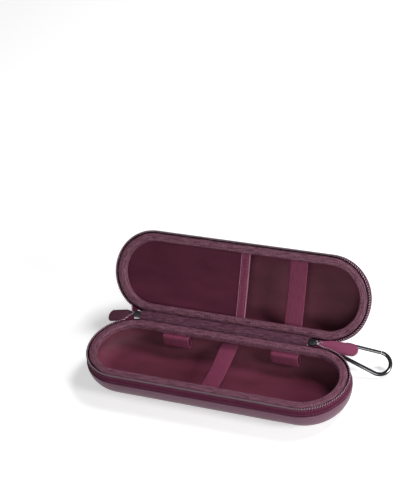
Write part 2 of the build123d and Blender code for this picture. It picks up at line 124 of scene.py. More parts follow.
# Changes the depth of a profile point, from its x, toward, depth and place in the profile.
Shape = Callable[[float, float, float, int], float]


# ---- places ------------------------------------------------------------------------------------
@dataclass(frozen=True)
class Placement:
    """A right-handed frame in millimetres."""

    origin: Vector
    x_dir: Vector
    z_dir: Vector

    @property
    def y_dir(self) -> Vector:
        """The frame's second axis."""
        return self.z_dir.cross(self.x_dir)

    def at(self, x: float, y: float, z: float = 0.0) -> Vector:
        """A point of the frame."""
        return self.origin + self.x_dir * x + self.y_dir * y + self.z_dir * z


def swung(x: float, y: float, z: float, angle: float, line_y: float, line_z: float) -> Vector:
    """Turns a point of the shut case back with the lid.

    Args:
        x: Place along the case.
        y: Place towards the hinge.
        z: Height.
        angle: Degrees of opening.
        line_y: Where the turning line runs, towards the hinge.
        line_z: Its height.

    Returns:
        The point once the lid has opened by that angle.
    """
    turn = math.radians(-angle)
    dy, dz = y - line_y, z - line_z
    return Vector((
        x,
        line_y + dy * math.cos(turn) - dz * math.sin(turn),
        line_z + dy * math.sin(turn) + dz * math.cos(turn),
    ))


def turned(x: float, y: float, z: float, angle: float) -> Vector:
    """A direction of the shut case after the same opening."""
    return swung(x, y, z, angle, 0.0, 0.0)


class Half(Enum):
    """The two halves of the case."""

    BASE = "base"
    LID = "lid"

    @property
    def origin(self) -> Vector:
        """Middle of the half's rim plane."""
        if self is Half.BASE:
            return Vector((0, 0, HALF_DEPTH))
        return swung(0, 0, HALF_DEPTH + RIM_GAP, OPEN_ANGLE, HINGE_Y, HINGE_Z)

    @property
    def toward(self) -> Vector:
        """Direction across the rim to the hinge."""
        return Vector((0, 1, 0)) if self is Half.BASE else turned(0, 1, 0, OPEN_ANGLE)

    @property
    def inward(self) -> Vector:
        """Direction from the rim plane into the half."""
        return Vector((0, 0, -1)) if self is Half.BASE else turned(0, 0, 1, OPEN_ANGLE)


class Side(Enum):
    """The two ends of the hinge, each with a parked slider."""

    LEFT = "left"
    RIGHT = "right"

    @property
    def sign(self) -> float:
        """Which way the teeth leave the slider, along its own x."""
        return -1.0 if self is Side.LEFT else 1.0

    @property
    def park_x(self) -> float:
        """Where the slider parks along the case."""
        return LEFT_PARK_X if self is Side.LEFT else RIGHT_PARK_X

    @property
    def park(self) -> Placement:
        """The parked slider's frame.

        Returns:
            Its x runs along the teeth, y outwards and z across the tape.
        """
        turn = LEFT_PARK_TURN if self is Side.LEFT else math.pi / 2
        out_x, out_y = math.cos(turn), math.sin(turn)
        spot = swung(
            self.park_x, CAP_RADIUS * out_y, HALF_DEPTH + RIM_GAP / 2,
            OPEN_ANGLE / 2, CAP_RADIUS + 0.15, HALF_DEPTH - 2.25,
        )
        along = turned(out_y, -out_x, 0, OPEN_ANGLE / 2)
        return Placement(spot, along, turned(0, 0, 1, OPEN_ANGLE / 2))


class HalfFrame:
    """Puts points of one half in place."""

    def __init__(self, half: Half) -> None:
        """Keeps the half's own directions."""
        self.origin, self.toward, self.inward = half.origin, half.toward, half.inward

    def at(self, x: float, toward: float, depth: float) -> Vector:
        """A point of the half, in millimetres."""
        return self.origin + Vector((x, 0, 0)) + self.toward * toward + self.inward * depth


def outline(step: float, start: float | None = None, end: float | None = None) -> list[Station]:
    """Walks the line of the teeth from the hinge side round the right end and back.

    Args:
        step: Largest distance between stations.
        start: Where on the hinge side it starts, or None for a closed walk.
        end: Where on the hinge side it ends.

    Returns:
        Stations as x, toward, the outward normal's two parts, and the length walked.
    """
    closed = start is None
    first = 0.0 if closed else start
    last = 0.0 if closed else end
    found: list[Station] = []
    walked = 0.0

    def straight(x0: float, x1: float, side: float) -> None:
        """Adds a straight run, without its last point.

        Args:
            x0: Where it starts.
            x1: Where it ends.
            side: +1 beside the hinge, -1 in front.
        """
        nonlocal walked
        count = max(1, math.ceil(abs(x1 - x0) / step))
        for i in range(count):
            x = x0 + (x1 - x0) * i / count
            found.append((x, side * CAP_RADIUS, 0.0, side, walked + abs(x - x0)))
        walked += abs(x1 - x0)

    def cap(side: float, a0: float, a1: float) -> None:
        """Adds part of a rounded end, without its last point.

        Args:
            side: +1 at the right end, -1 at the left.
            a0: Turn from the hinge side at its start.
            a1: The same at its end.
        """
        nonlocal walked
        length = CAP_RADIUS * abs(a1 - a0)
        count = max(2, math.ceil(length / step))
        for i in range(count):
            a = a0 + (a1 - a0) * i / count
            nx, nt = side * math.sin(a), math.cos(a)
            spot = (side * CAP_X + CAP_RADIUS * nx, CAP_RADIUS * nt)
            found.append((*spot, nx, nt, walked + length * i / count))
        walked += length

    if first < CAP_X:
        straight(first, CAP_X, 1.0)
        cap(1.0, 0.0, math.pi)
    else:
        cap(1.0, math.asin((first - CAP_X) / CAP_RADIUS), math.pi)
    straight(CAP_X, 0.0, -1.0)
    straight(0.0, -CAP_X, -1.0)
    if last > -CAP_X:
        cap(-1.0, math.pi, 0.0)
        straight(-CAP_X, last, 1.0)
    else:
        cap(-1.0, math.pi, math.asin((-CAP_X - last) / CAP_RADIUS))
    if not closed:
        x = last
        nx = min(0.0, (last + CAP_X) / CAP_RADIUS)
        nt = math.sqrt(1 - nx * nx)
        found.append((x, CAP_RADIUS * nt, nx, nt, walked))
    return found


def clamped(value: float) -> float:
    """A value kept between 0 and 1."""
    return min(1.0, max(0.0, value))


def eased(share: float) -> float:
    """A share from 0 to 1 that starts and stops softly."""
    return share * share * (3 - 2 * share)


def spread(reach: float, count: int) -> list[float]:
    """Places from one side of a middle to the other, ends included."""
    return [-reach + 2 * reach * i / count for i in range(count + 1)]


def arc(cx: float, cy: float, radius: float, a0: float, a1: float, steps: int) -> Profile:
    """Points of an arc, ends included.

    Args:
        cx: The centre's first part.
        cy: Its second part.
        radius: The radius.
        a0: Angle of the first point, in degrees.
        a1: Angle of the last point.
        steps: How many steps it takes.

    Returns:
        The points.
    """
    found = []
    for i in range(steps + 1):
        a = math.radians(a0 + (a1 - a0) * i / steps)
        found.append((cx + radius * math.cos(a), cy + radius * math.sin(a)))
    return found


def run(p: tuple[float, float], q: tuple[float, float], steps: int) -> Profile:
    """Points of a straight line, without its last point."""
    return [
        (p[0] + (q[0] - p[0]) * i / steps, p[1] + (q[1] - p[1]) * i / steps) for i in range(steps)
    ]


def circle(radius: float, count: int) -> Profile:
    """A closed circle about the origin."""
    turns = (2 * math.pi * i / count for i in range(count))
    return [(radius * math.cos(a), radius * math.sin(a)) for a in turns]


def rounded_box(width: float, height: float, radius: float, steps: int = 3) -> Profile:
    """A closed rounded rectangle about the origin, anticlockwise.

    Args:
        width: Its width.
        height: Its height.
        radius: Its corners' radius.
        steps: Steps round each corner.

    Returns:
        Its points.
    """
    w, h = width / 2 - radius, height / 2 - radius
    found: Profile = []
    for cx, cy, a in ((w, -h, -90), (w, h, 0), (-w, h, 90), (-w, -h, 180)):
        found += arc(cx, cy, radius, a, a + 90, steps)
    return found


def band_section(width: float, thick: float, steps: int, margin: float, edge: float,
                 cord: float = 0.0, hollow: float = 0.0) -> Profile:
    """Section of flat elastic, anticlockwise.

    Args:
        width: Its width.
        thick: Its thickness.
        steps: Steps across each face.
        margin: How far each face stops short of the selvedge.
        edge: Radius of the round selvedges.
        cord: Height of the knitted cords along the faces.
        hollow: How much thinner the band is between its selvedges, on each face.

    Returns:
        The closed section.
    """
    w, t = width / 2, thick / 2
    top = [
        (a, -(t - hollow + cord * math.cos(2 * math.pi * a / STRAP_CORD)))
        for a in spread(w - margin, steps)
    ]
    low = [(a, -b) for a, b in reversed(top)]
    return top + arc(w - edge, 0, edge, -60, 60, 4) + low + arc(edge - w, 0, edge, 120, 240, 4)


# ---- meshes ------------------------------------------------------------------------------------
def placed(name: str, data: bpy.types.ID) -> bpy.types.Object:
    """Puts a mesh, a lamp or a camera in the scene."""
    made = bpy.data.objects.new(name, data)
    bpy.context.scene.collection.objects.link(made)
    return made


def smooth(piece: bpy.types.Object, sharp: float = 50.0) -> None:
    """Smooth shading with crisp edges above an angle in degrees."""
    mesh = piece.data
    mesh.polygons.foreach_set("use_smooth", [True] * len(mesh.polygons))
    mesh.set_sharp_from_angle(angle=math.radians(sharp))


def loft(
    name: str,
    sections: Sequence[Section],
    closed_along: bool = False,
    closed_around: bool = True,
    capped: bool = False,
    welded: bool = False,
    sharp: float = 50.0,
) -> bpy.types.Object:
    """Skins a row of sections and lays a thread map on it, in millimetres.

    Args:
        name: The object's name.
        sections: Rows of points in millimetres, all of one length.
        closed_along: Joins the last section to the first.
        closed_around: Joins each section's last point to its first.
        capped: Closes both ends with a face.
        welded: Merges points that coincide.
        sharp: Angle in degrees from which an edge stays crisp.

    Returns:
        The new object, in metres.
    """
    rows, cols = len(sections), len(sections[0])
    verts = [tuple(p * MM) for row in sections for p in row]
    middle = [sum(row, Vector()) / cols for row in sections]
    along = [0.0]
    for i in range(1, rows + 1):
        along.append(along[-1] + (middle[i % rows] - middle[i - 1]).length)
    probe = sections[rows // 2]
    across = [0.0]
    for j in range(1, cols + 1):
        across.append(across[-1] + (probe[j % cols] - probe[j - 1]).length)
    faces, threads = [], []
    for i in range(rows if closed_along else rows - 1):
        k = (i + 1) % rows
        for j in range(cols if closed_around else cols - 1):
            m = (j + 1) % cols
            faces.append((i * cols + j, k * cols + j, k * cols + m, i * cols + m))
            threads += [
                along[i], across[j], along[i + 1], across[j],
                along[i + 1], across[j + 1], along[i], across[j + 1],
            ]
    if capped:
        for row, spot in ((0, along[0]), (rows - 1, along[rows - 1])):
            faces.append(tuple(row * cols + j for j in range(cols)))
            for j in range(cols):
                threads += [spot, across[j]]
    return written(name, verts, faces, threads, welded, sharp)


def written(
    name: str,
    verts: Sequence[tuple[float, float, float]],
    faces: Sequence[tuple[int, ...]],
    threads: Sequence[float],
    welded: bool = False,
    sharp: float = 50.0,
) -> bpy.types.Object:
    """Writes a mesh with its thread map and puts it in the scene.

    Args:
        name: The object's name.
        verts: Points in metres.
        faces: Corner numbers of each face.
        threads: Two thread coordinates for each corner, in millimetres.
        welded: Merges points that coincide.
        sharp: Angle in degrees from which an edge stays crisp.

    Returns:
        The new object.
    """
    mesh = bpy.data.meshes.new(name)
    mesh.from_pydata(verts, [], faces)
    layer = mesh.uv_layers.new(name=THREAD_MAP)
    layer.data.foreach_set("uv", threads)
    work = bmesh.new()
    work.from_mesh(mesh)
    if welded:
        bmesh.ops.remove_doubles(work, verts=work.verts, dist=WELD)
        bmesh.ops.dissolve_degenerate(work, edges=work.edges, dist=1e-6)
    bmesh.ops.recalc_face_normals(work, faces=work.faces)
    work.to_mesh(mesh)
    work.free()
    made = placed(name, mesh)
    smooth(made, sharp)
    return made


def joined(name: str, parts: Sequence[bpy.types.Object]) -> bpy.types.Object:
    """Joins objects into a new one, which takes their place.

    Args:
        name: The new object's name.
        parts: The objects.

    Returns:
        The new object.
    """
    meshes = [part.data for part in parts]
    work = bmesh.new()
    for part in parts:
        work.from_mesh(part.data)
        bpy.data.objects.remove(part)
    mesh = bpy.data.meshes.new(name)
    work.to_mesh(mesh)
    work.free()
    for old in meshes:
        bpy.data.meshes.remove(old)
    made = placed(name, mesh)
    smooth(made)
    return made


def frames_along(
    path: Sequence[Vector], closed: bool, up: Vector, steady: bool
) -> list[tuple[Vector, Vector]]:
    """Two directions square to a path at each of its points.

    Args:
        path: Points in millimetres.
        closed: Whether the last point runs on to the first.
        up: Direction that the frames lean to.
        steady: Keeps up fixed; otherwise each frame is carried on from the last without twist.

    Returns:
        A side and an up direction for each point.
    """
    count = len(path)
    found = []
    for i, p in enumerate(path):
        before = path[i - 1] if i or closed else p
        after = path[(i + 1) % count] if i < count - 1 or closed else p
        way = (after - before).normalized()
        if steady:
            side = way.cross(up).normalized()
            found.append((side, side.cross(way).normalized()))
        else:
            up = (up - way * up.dot(way)).normalized()
            found.append((way.cross(up), up))
    return found


def swept(
    name: str,
    path: Sequence[Vector],
    section: Profile,
    up: Vector,
    closed: bool = False,
    steady: bool = True,
) -> bpy.types.Object:
    """Sweeps a section along a path.

    Args:
        name: The object's name.
        path: Points in millimetres.
        section: Closed section: first part sideways, second part upwards.
        up: Which way is up for the section.
        closed: Whether the path closes.
        steady: Keeps up fixed; otherwise the frame is carried along.

    Returns:
        The new object.
    """
    sections = [
        [p + side * a + rise * b for a, b in section]
        for p, (side, rise) in zip(path, frames_along(path, closed, up, steady))
    ]
    return loft(name, sections, closed_along=closed, capped=not closed)


def spaced(path: Sequence[Vector], closed: bool) -> tuple[list[float], Callable[[float], Vector]]:
    """Measures a path.

    Args:
        path: Points in millimetres.
        closed: Whether the last point runs on to the first.

    Returns:
        The length walked at each point, and a function from a length to its point.
    """
    points = list(path) + ([path[0]] if closed else [])
    marks = [0.0]
    for p, q in zip(points, points[1:]):
        marks.append(marks[-1] + (q - p).length)

    def place(s: float) -> Vector:
        """The path's point at a length.

        Args:
            s: The length.

        Returns:
            The point.
        """
        s = min(max(s, 0.0), marks[-1])
        lo, hi = 0, len(marks) - 1
        while hi - lo > 1:
            mid = (lo + hi) // 2
            if marks[mid] <= s:
                lo = mid
            else:
                hi = mid
        share = (s - marks[lo]) / max(1e-9, marks[hi] - marks[lo])
        return points[lo].lerp(points[hi], share)

    return marks, place


@dataclass(frozen=True)
class StitchRow:
    """A row of lockstitches. Thread is drawn thicker than real thread, so that it shows."""

    length: float = 2.3
    gap: float = 0.9
    thread: float = 0.2
    lift: float = 0.12

    def sew(
        self,
        name: str,
        path: Sequence[Vector],
        face: Callable[[float], Vector],
        closed: bool = False,
    ) -> bpy.types.Object:
        """Lays the stitches on a path.

        Args:
            name: The object's name.
            path: Points on the cloth, in millimetres.
            face: Gives the cloth's outward direction at a share of the path.
            closed: Whether the row closes on itself.

        Returns:
            One object that holds every stitch.
        """
        marks, place = spaced(path, closed)
        total = marks[-1]
        count = max(1, int(total / (self.length + self.gap)))
        pitch = total / count
        verts, faces, threads = [], [], []
        sides, rings = 6, 5
        for n in range(count):
            start = pitch * n + self.gap / 2
            spots = [place(start + self.length * k / (rings - 1)) for k in range(rings)]
            normal = face((start + self.length / 2) / total)
            way = (spots[-1] - spots[0]).normalized()
            side = way.cross(normal).normalized()
            first = len(verts)
            for k, spot in enumerate(spots):
                bow = math.sin(math.pi * k / (rings - 1))
                centre = spot + normal * (self.lift * bow - self.thread * 0.6 * (1 - bow))
                radius = self.thread * (0.55 + 0.45 * bow)
                for m in range(sides):
                    a = 2 * math.pi * m / sides
                    offset = side * math.cos(a) * radius + normal * math.sin(a) * radius
                    verts.append(tuple((centre + offset) * MM))
            for k in range(rings - 1):
                for m in range(sides):
                    q = (m + 1) % sides
                    a, b = first + k * sides, first + (k + 1) * sides
                    faces.append((a + m, b + m, b + q, a + q))
                    u, v = start + k * 0.5, m * 0.2
                    threads += [u, v, u + 0.5, v, u + 0.5, v + 0.2, u, v + 0.2]
            for ring in (0, rings - 1):
                faces.append(tuple(first + ring * sides + m for m in range(sides)))
                threads += [start, 0.0] * sides
        return written(name, verts, faces, threads, sharp=70)


FINE_ROW = StitchRow(length=2.0, gap=0.8, thread=0.17)


def ripple(p: Vector, size: float, seed: float = 0.0) -> float:
    """Smooth unevenness between about -1 and 1, with lumps of a size in millimetres."""
    return noise.noise(Vector((p.x / size + seed, p.y / size - seed, p.z / size + 2 * seed)))


# ---- materials ---------------------------------------------------------------------------------
def srgb(code: str) -> tuple[float, float, float, float]:
    """Linear colour of an sRGB hex value.

    Args:
        code: The value, after its leading sign #.

    Returns:
        Red, green, blue and a full alpha.
    """
    found = []
    for i in (1, 3, 5):
        c = int(code[i:i + 2], 16) / 255
        found.append(c / 12.92 if c <= 0.04045 else ((c + 0.055) / 1.055) ** 2.4)
    return (*found, 1.0)


def add_node(
    tree: bpy.types.NodeTree, kind: str, settings: dict | None = None, inputs: dict | None = None
) -> bpy.types.Node:
    """Adds a node with its settings and links.

    Args:
        tree: The node tree.
        kind: The node's type.
        settings: Properties of the node.
        inputs: For each input's name or number, a value or a socket to link from.

    Returns:
        The new node.
    """
    node = tree.nodes.new(kind)
    for key, value in (settings or {}).items():
        setattr(node, key, value)
    for key, value in (inputs or {}).items():
        if isinstance(value, bpy.types.NodeSocket):
            tree.links.new(value, node.inputs[key])
        else:
            node.inputs[key].default_value = value
    return node


def wave_scale(period: float) -> float:
    """Wave texture's scale for a period in its coordinate's unit."""
    return math.pi / 10 / period


@dataclass(frozen=True)
class Finish:
    """What every finish has: a name, two near colours, and the shader's plain values."""

    name: str
    colour: str
    second: str
    roughness: float
    metallic: float = 0.0
    sheen: float = 0.0
    ior: float = 1.5
    gloss: float = 0.5

    def material(self) -> bpy.types.Material:
        """The finish as a material, made once.

        Returns:
            The material.
        """
        known = bpy.data.materials.get(self.name)
        if known:
            return known
        made = bpy.data.materials.new(self.name)
        made.use_nodes = True
        tree = made.node_tree
        shader = tree.nodes["Principled BSDF"]
        shader.inputs["Metallic"].default_value = self.metallic
        shader.inputs["Roughness"].default_value = self.roughness
        if not self.metallic:
            shader.inputs["IOR"].default_value = self.ior
            shader.inputs["Specular IOR Level"].default_value = self.gloss
        if self.sheen:
            shader.inputs["Sheen Weight"].default_value = self.sheen
            shader.inputs["Sheen Roughness"].default_value = 0.45
            shader.inputs["Sheen Tint"].default_value = srgb("#c0708c")
        self.paint(tree, shader)
        return made

    def paint(self, tree: bpy.types.NodeTree, shader: bpy.types.Node) -> None:
        """Adds the finish's pattern; each kind of finish has its own.

        Args:
            tree: The material's node tree.
            shader: Its shader.
        """
        raise NotImplementedError

    def solid_mm(self, tree: bpy.types.NodeTree) -> bpy.types.NodeSocket:
        """The object's own coordinate in millimetres.

        Args:
            tree: The material's node tree.

        Returns:
            The socket that gives it.
        """
        spot = add_node(tree, "ShaderNodeTexCoord")
        scaled = add_node(
            tree, "ShaderNodeVectorMath", {"operation": "SCALE"},
            {0: spot.outputs["Object"], "Scale": 1 / MM},
        )
        return scaled.outputs[0]

    def thread_mm(self, tree: bpy.types.NodeTree) -> bpy.types.NodeSocket:
        """The thread map, along and across the cloth, in millimetres."""
        return add_node(tree, "ShaderNodeUVMap", {"uv_map": THREAD_MAP}).outputs["UV"]

    def tint(
        self, tree: bpy.types.NodeTree, shader: bpy.types.Node, share: bpy.types.NodeSocket
    ) -> None:
        """Mixes the two colours by a share into the base colour.

        Args:
            tree: The material's node tree.
            shader: Its shader.
            share: The second colour's share.
        """
        mix = add_node(
            tree, "ShaderNodeMix", {"data_type": "RGBA"},
            {"Factor": share, 6: srgb(self.colour), 7: srgb(self.second)},
        )
        tree.links.new(mix.outputs[2], shader.inputs["Base Color"])

    def relief(
        self,
        tree: bpy.types.NodeTree,
        shader: bpy.types.Node,
        height: bpy.types.NodeSocket,
        depth: float,
        strength: float = 1.0,
    ) -> None:
        """Bumps the surface.

        Args:
            tree: The material's node tree.
            shader: Its shader.
            height: The height, from 0 to 1.
            depth: Its full swing in millimetres.
            strength: How much of it is used.
        """
        bump = add_node(
            tree, "ShaderNodeBump", None,
            {"Height": height, "Distance": depth * MM, "Strength": strength},
        )
        tree.links.new(bump.outputs[0], shader.inputs["Normal"])


@dataclass(frozen=True)
class MouldedSkin(Finish):
    """Polyurethane-faced EVA, hot pressed: a satin film with a fine pressed grain."""

    # Real grain is near 0.4 mm; it is drawn at 0.9 mm, so that it shows as a soft break
    # in the gloss. The tone drifts over about 45 mm, as pressed film does.
    grain: float = 0.9
    drift: float = 45.0

    def paint(self, tree: bpy.types.NodeTree, shader: bpy.types.Node) -> None:
        """Pressed grain, slow colour drift and rubbed gloss.

        Args:
            tree: The material's node tree.
            shader: Its shader.
        """
        spot = self.solid_mm(tree)
        cells = add_node(
            tree, "ShaderNodeTexVoronoi", {"feature": "SMOOTH_F1"},
            {"Vector": spot, "Scale": 1 / self.grain, "Smoothness": 0.6},
        )
        drift = add_node(
            tree, "ShaderNodeTexNoise", None,
            {"Vector": spot, "Scale": 1 / self.drift, "Detail": 3.0},
        )
        self.tint(tree, shader, drift.outputs["Fac"])
        rubbed = add_node(
            tree, "ShaderNodeMapRange", None,
            {"Value": drift.outputs["Fac"], "From Min": 0.3, "From Max": 0.7,
             "To Min": self.roughness - 0.04, "To Max": self.roughness + 0.05},
        )
        tree.links.new(rubbed.outputs[0], shader.inputs["Roughness"])
        self.relief(tree, shader, cells.outputs["Distance"], 0.05, 0.5)


@dataclass(frozen=True)
class ClosedFoam(Finish):
    """Closed-cell EVA foam with a cut face: matt, with pinhole cells."""

    # Real cells are near 0.3 mm; they are drawn at 0.8 mm, so that they show.
    cell: float = 0.8

    def paint(self, tree: bpy.types.NodeTree, shader: bpy.types.Node) -> None:
        """Cut cells, paler towards their walls.

        Args:
            tree: The material's node tree.
            shader: Its shader.
        """
        spot = self.solid_mm(tree)
        cells = add_node(
            tree, "ShaderNodeTexVoronoi", None, {"Vector": spot, "Scale": 1 / self.cell}
        )
        self.tint(tree, shader, cells.outputs["Distance"])
        self.relief(tree, shader, cells.outputs["Distance"], 0.12)


@dataclass(frozen=True)
class BrushedTricot(Finish):
    """Brushed polyester tricot, laminated and moulded: short nap, soft sheen, faint strokes."""

    # The nap is near 0.15 mm; it is drawn at 0.5 mm, as coarse as it needs to show. The pile
    # lies over in patches of about 16 mm.
    nap: float = 0.5
    patch: float = 16.0

    def paint(self, tree: bpy.types.NodeTree, shader: bpy.types.Node) -> None:
        """Nap, and lighter and darker patches where the pile lies over.

        Args:
            tree: The material's node tree.
            shader: Its shader.
        """
        spot = self.solid_mm(tree)
        stroked = add_node(
            tree, "ShaderNodeMapping", None, {"Vector": spot, "Scale": (0.35, 1.0, 1.0)}
        )
        nap = add_node(
            tree, "ShaderNodeTexNoise", None,
            {"Vector": stroked.outputs[0], "Scale": 1 / self.nap, "Detail": 4.0, "Roughness": 0.7},
        )
        patch = add_node(
            tree, "ShaderNodeTexNoise", None,
            {"Vector": stroked.outputs[0], "Scale": 1 / self.patch, "Detail": 3.0},
        )
        share = add_node(
            tree, "ShaderNodeMath", {"operation": "MULTIPLY_ADD"},
            {0: nap.outputs["Fac"], 1: 0.45, 2: patch.outputs["Fac"]},
        )
        even = add_node(
            tree, "ShaderNodeMapRange", None,
            {"Value": share.outputs[0], "From Min": 0.45, "From Max": 1.0},
        )
        self.tint(tree, shader, even.outputs[0])
        self.relief(tree, shader, nap.outputs["Fac"], 0.14, 0.8)


@dataclass(frozen=True)
class Woven(Finish):
    """Woven polyester or nylon: ribs across, warp ends along, and painted glints as flecks."""

    # Real ribs are near 0.7 mm apart; they are drawn at 0.8 to 1.5 mm, so that they show.
    rib: float = 1.1
    end: float = 0.7
    depth: float = 0.16
    painted_glint: float = 0.25
    # Yarns differ over about 8 mm along the cloth and 0.9 mm across it; painted glints near 1.8 mm.
    yarn_scale: Size = (0.12, 1.1, 1.0)
    painted_glint_scale: float = 0.55
    worn: float = 0.75
    relief_share: float = 0.35

    def paint(self, tree: bpy.types.NodeTree, shader: bpy.types.Node) -> None:
        """Ribs times ends, with threads that differ, worn lighter spots and painted glints.

        Args:
            tree: The material's node tree.
            shader: Its shader.
        """
        thread = self.thread_mm(tree)
        ribs = add_node(
            tree, "ShaderNodeTexWave", {"wave_type": "BANDS", "bands_direction": "X"},
            {"Vector": thread, "Scale": wave_scale(self.rib), "Distortion": 0.5,
             "Detail": 1.0, "Detail Scale": 2.0},
        )
        ends = add_node(
            tree, "ShaderNodeTexWave", {"wave_type": "BANDS", "bands_direction": "Y"},
            {"Vector": thread, "Scale": wave_scale(self.end), "Distortion": 0.4,
             "Detail": 1.0, "Detail Scale": 2.0},
        )
        height = add_node(
            tree, "ShaderNodeMath", {"operation": "MULTIPLY_ADD"},
            {0: ribs.outputs["Fac"], 1: ends.outputs["Fac"], 2: 0.0},
        )
        streak = add_node(
            tree, "ShaderNodeMapping", None, {"Vector": thread, "Scale": self.yarn_scale}
        )
        yarn = add_node(
            tree, "ShaderNodeTexNoise", None,
            {"Vector": streak.outputs[0], "Scale": 1.0, "Detail": 3.0, "Roughness": 0.65},
        )
        # Lighter flecks mixed into the colour: painted glints standing in for the weave's sparkle.
        painted_glint = add_node(
            tree, "ShaderNodeTexNoise", None,
            {"Vector": thread, "Scale": self.painted_glint_scale, "Detail": 2.0},
        )
        bright = add_node(
            tree, "ShaderNodeMapRange", None,
            {"Value": painted_glint.outputs["Fac"], "From Min": 0.56, "From Max": 0.72,
             "To Max": self.painted_glint},
        )
        worn = add_node(
            tree, "ShaderNodeMapRange", None,
            {"Value": yarn.outputs["Fac"], "From Min": 0.38, "From Max": 0.66,
             "To Max": self.worn},
        )
        share = add_node(
            tree, "ShaderNodeMath", {"operation": "MULTIPLY_ADD", "use_clamp": True},
            {0: height.outputs[0], 1: self.relief_share, 2: worn.outputs[0]},
        )
        total = add_node(
            tree, "ShaderNodeMath", {"operation": "ADD", "use_clamp": True},
            {0: share.outputs[0], 1: bright.outputs[0]},
        )
        self.tint(tree, shader, total.outputs[0])
        self.relief(tree, shader, height.outputs[0], self.depth)


@dataclass(frozen=True)
class Monofilament(Finish):
    """Nylon monofilament, drawn and wound: smooth and half glossy."""

    # The tone changes over about half a turn of the coil.
    tone: float = 1.25

    def paint(self, tree: bpy.types.NodeTree, shader: bpy.types.Node) -> None:
        """Slight change of tone from tooth to tooth.

        Args:
            tree: The material's node tree.
            shader: Its shader.
        """
        spot = self.solid_mm(tree)
        tone = add_node(
            tree, "ShaderNodeTexNoise", None, {"Vector": spot, "Scale": 1 / self.tone}
        )
        self.tint(tree, shader, tone.outputs["Fac"])
        self.relief(tree, shader, tone.outputs["Fac"], 0.03)


@dataclass(frozen=True)
class SpunThread(Finish):
    """Spun polyester sewing thread: the twist shows as slanted bands."""

    # The real twist repeats every 0.3 mm; it is drawn at 0.5 mm, to suit the thicker thread.
    twist: float = 0.5

    def paint(self, tree: bpy.types.NodeTree, shader: bpy.types.Node) -> None:
        """Twist bands along the thread.

        Args:
            tree: The material's node tree.
            shader: Its shader.
        """
        thread = self.thread_mm(tree)
        twist = add_node(
            tree, "ShaderNodeTexWave", {"wave_type": "BANDS", "bands_direction": "DIAGONAL"},
            {"Vector": thread, "Scale": wave_scale(self.twist)},
        )
        self.tint(tree, shader, twist.outputs["Fac"])
        self.relief(tree, shader, twist.outputs["Fac"], 0.04)


@dataclass(frozen=True)
class PlatedMetal(Finish):
    """Plated or polished metal: clean gloss with fine handling scratches and duller hollows."""

    # Real scratches are near 0.05 mm wide; they are drawn at 0.25 mm, so that they show.
    scratch: float = 0.25

    def paint(self, tree: bpy.types.NodeTree, shader: bpy.types.Node) -> None:
        """Scratches in the gloss and a faint change of tone.

        Args:
            tree: The material's node tree.
            shader: Its shader.
        """
        spot = self.solid_mm(tree)
        drawn = add_node(
            tree, "ShaderNodeMapping", None,
            {"Vector": spot, "Scale": (0.3, 1.6, 1.0), "Rotation": (0.3, 0.5, 0.7)},
        )
        lines = add_node(
            tree, "ShaderNodeTexNoise", None,
            {"Vector": drawn.outputs[0], "Scale": 1 / self.scratch, "Detail": 3.0},
        )
        self.tint(tree, shader, lines.outputs["Fac"])
        dulled = add_node(
            tree, "ShaderNodeMapRange", None,
            {"Value": lines.outputs["Fac"], "From Min": 0.35, "From Max": 0.75,
             "To Min": self.roughness, "To Max": self.roughness + 0.12},
        )
        tree.links.new(dulled.outputs[0], shader.inputs["Roughness"])
        self.relief(tree, shader, lines.outputs["Fac"], 0.01, 0.4)


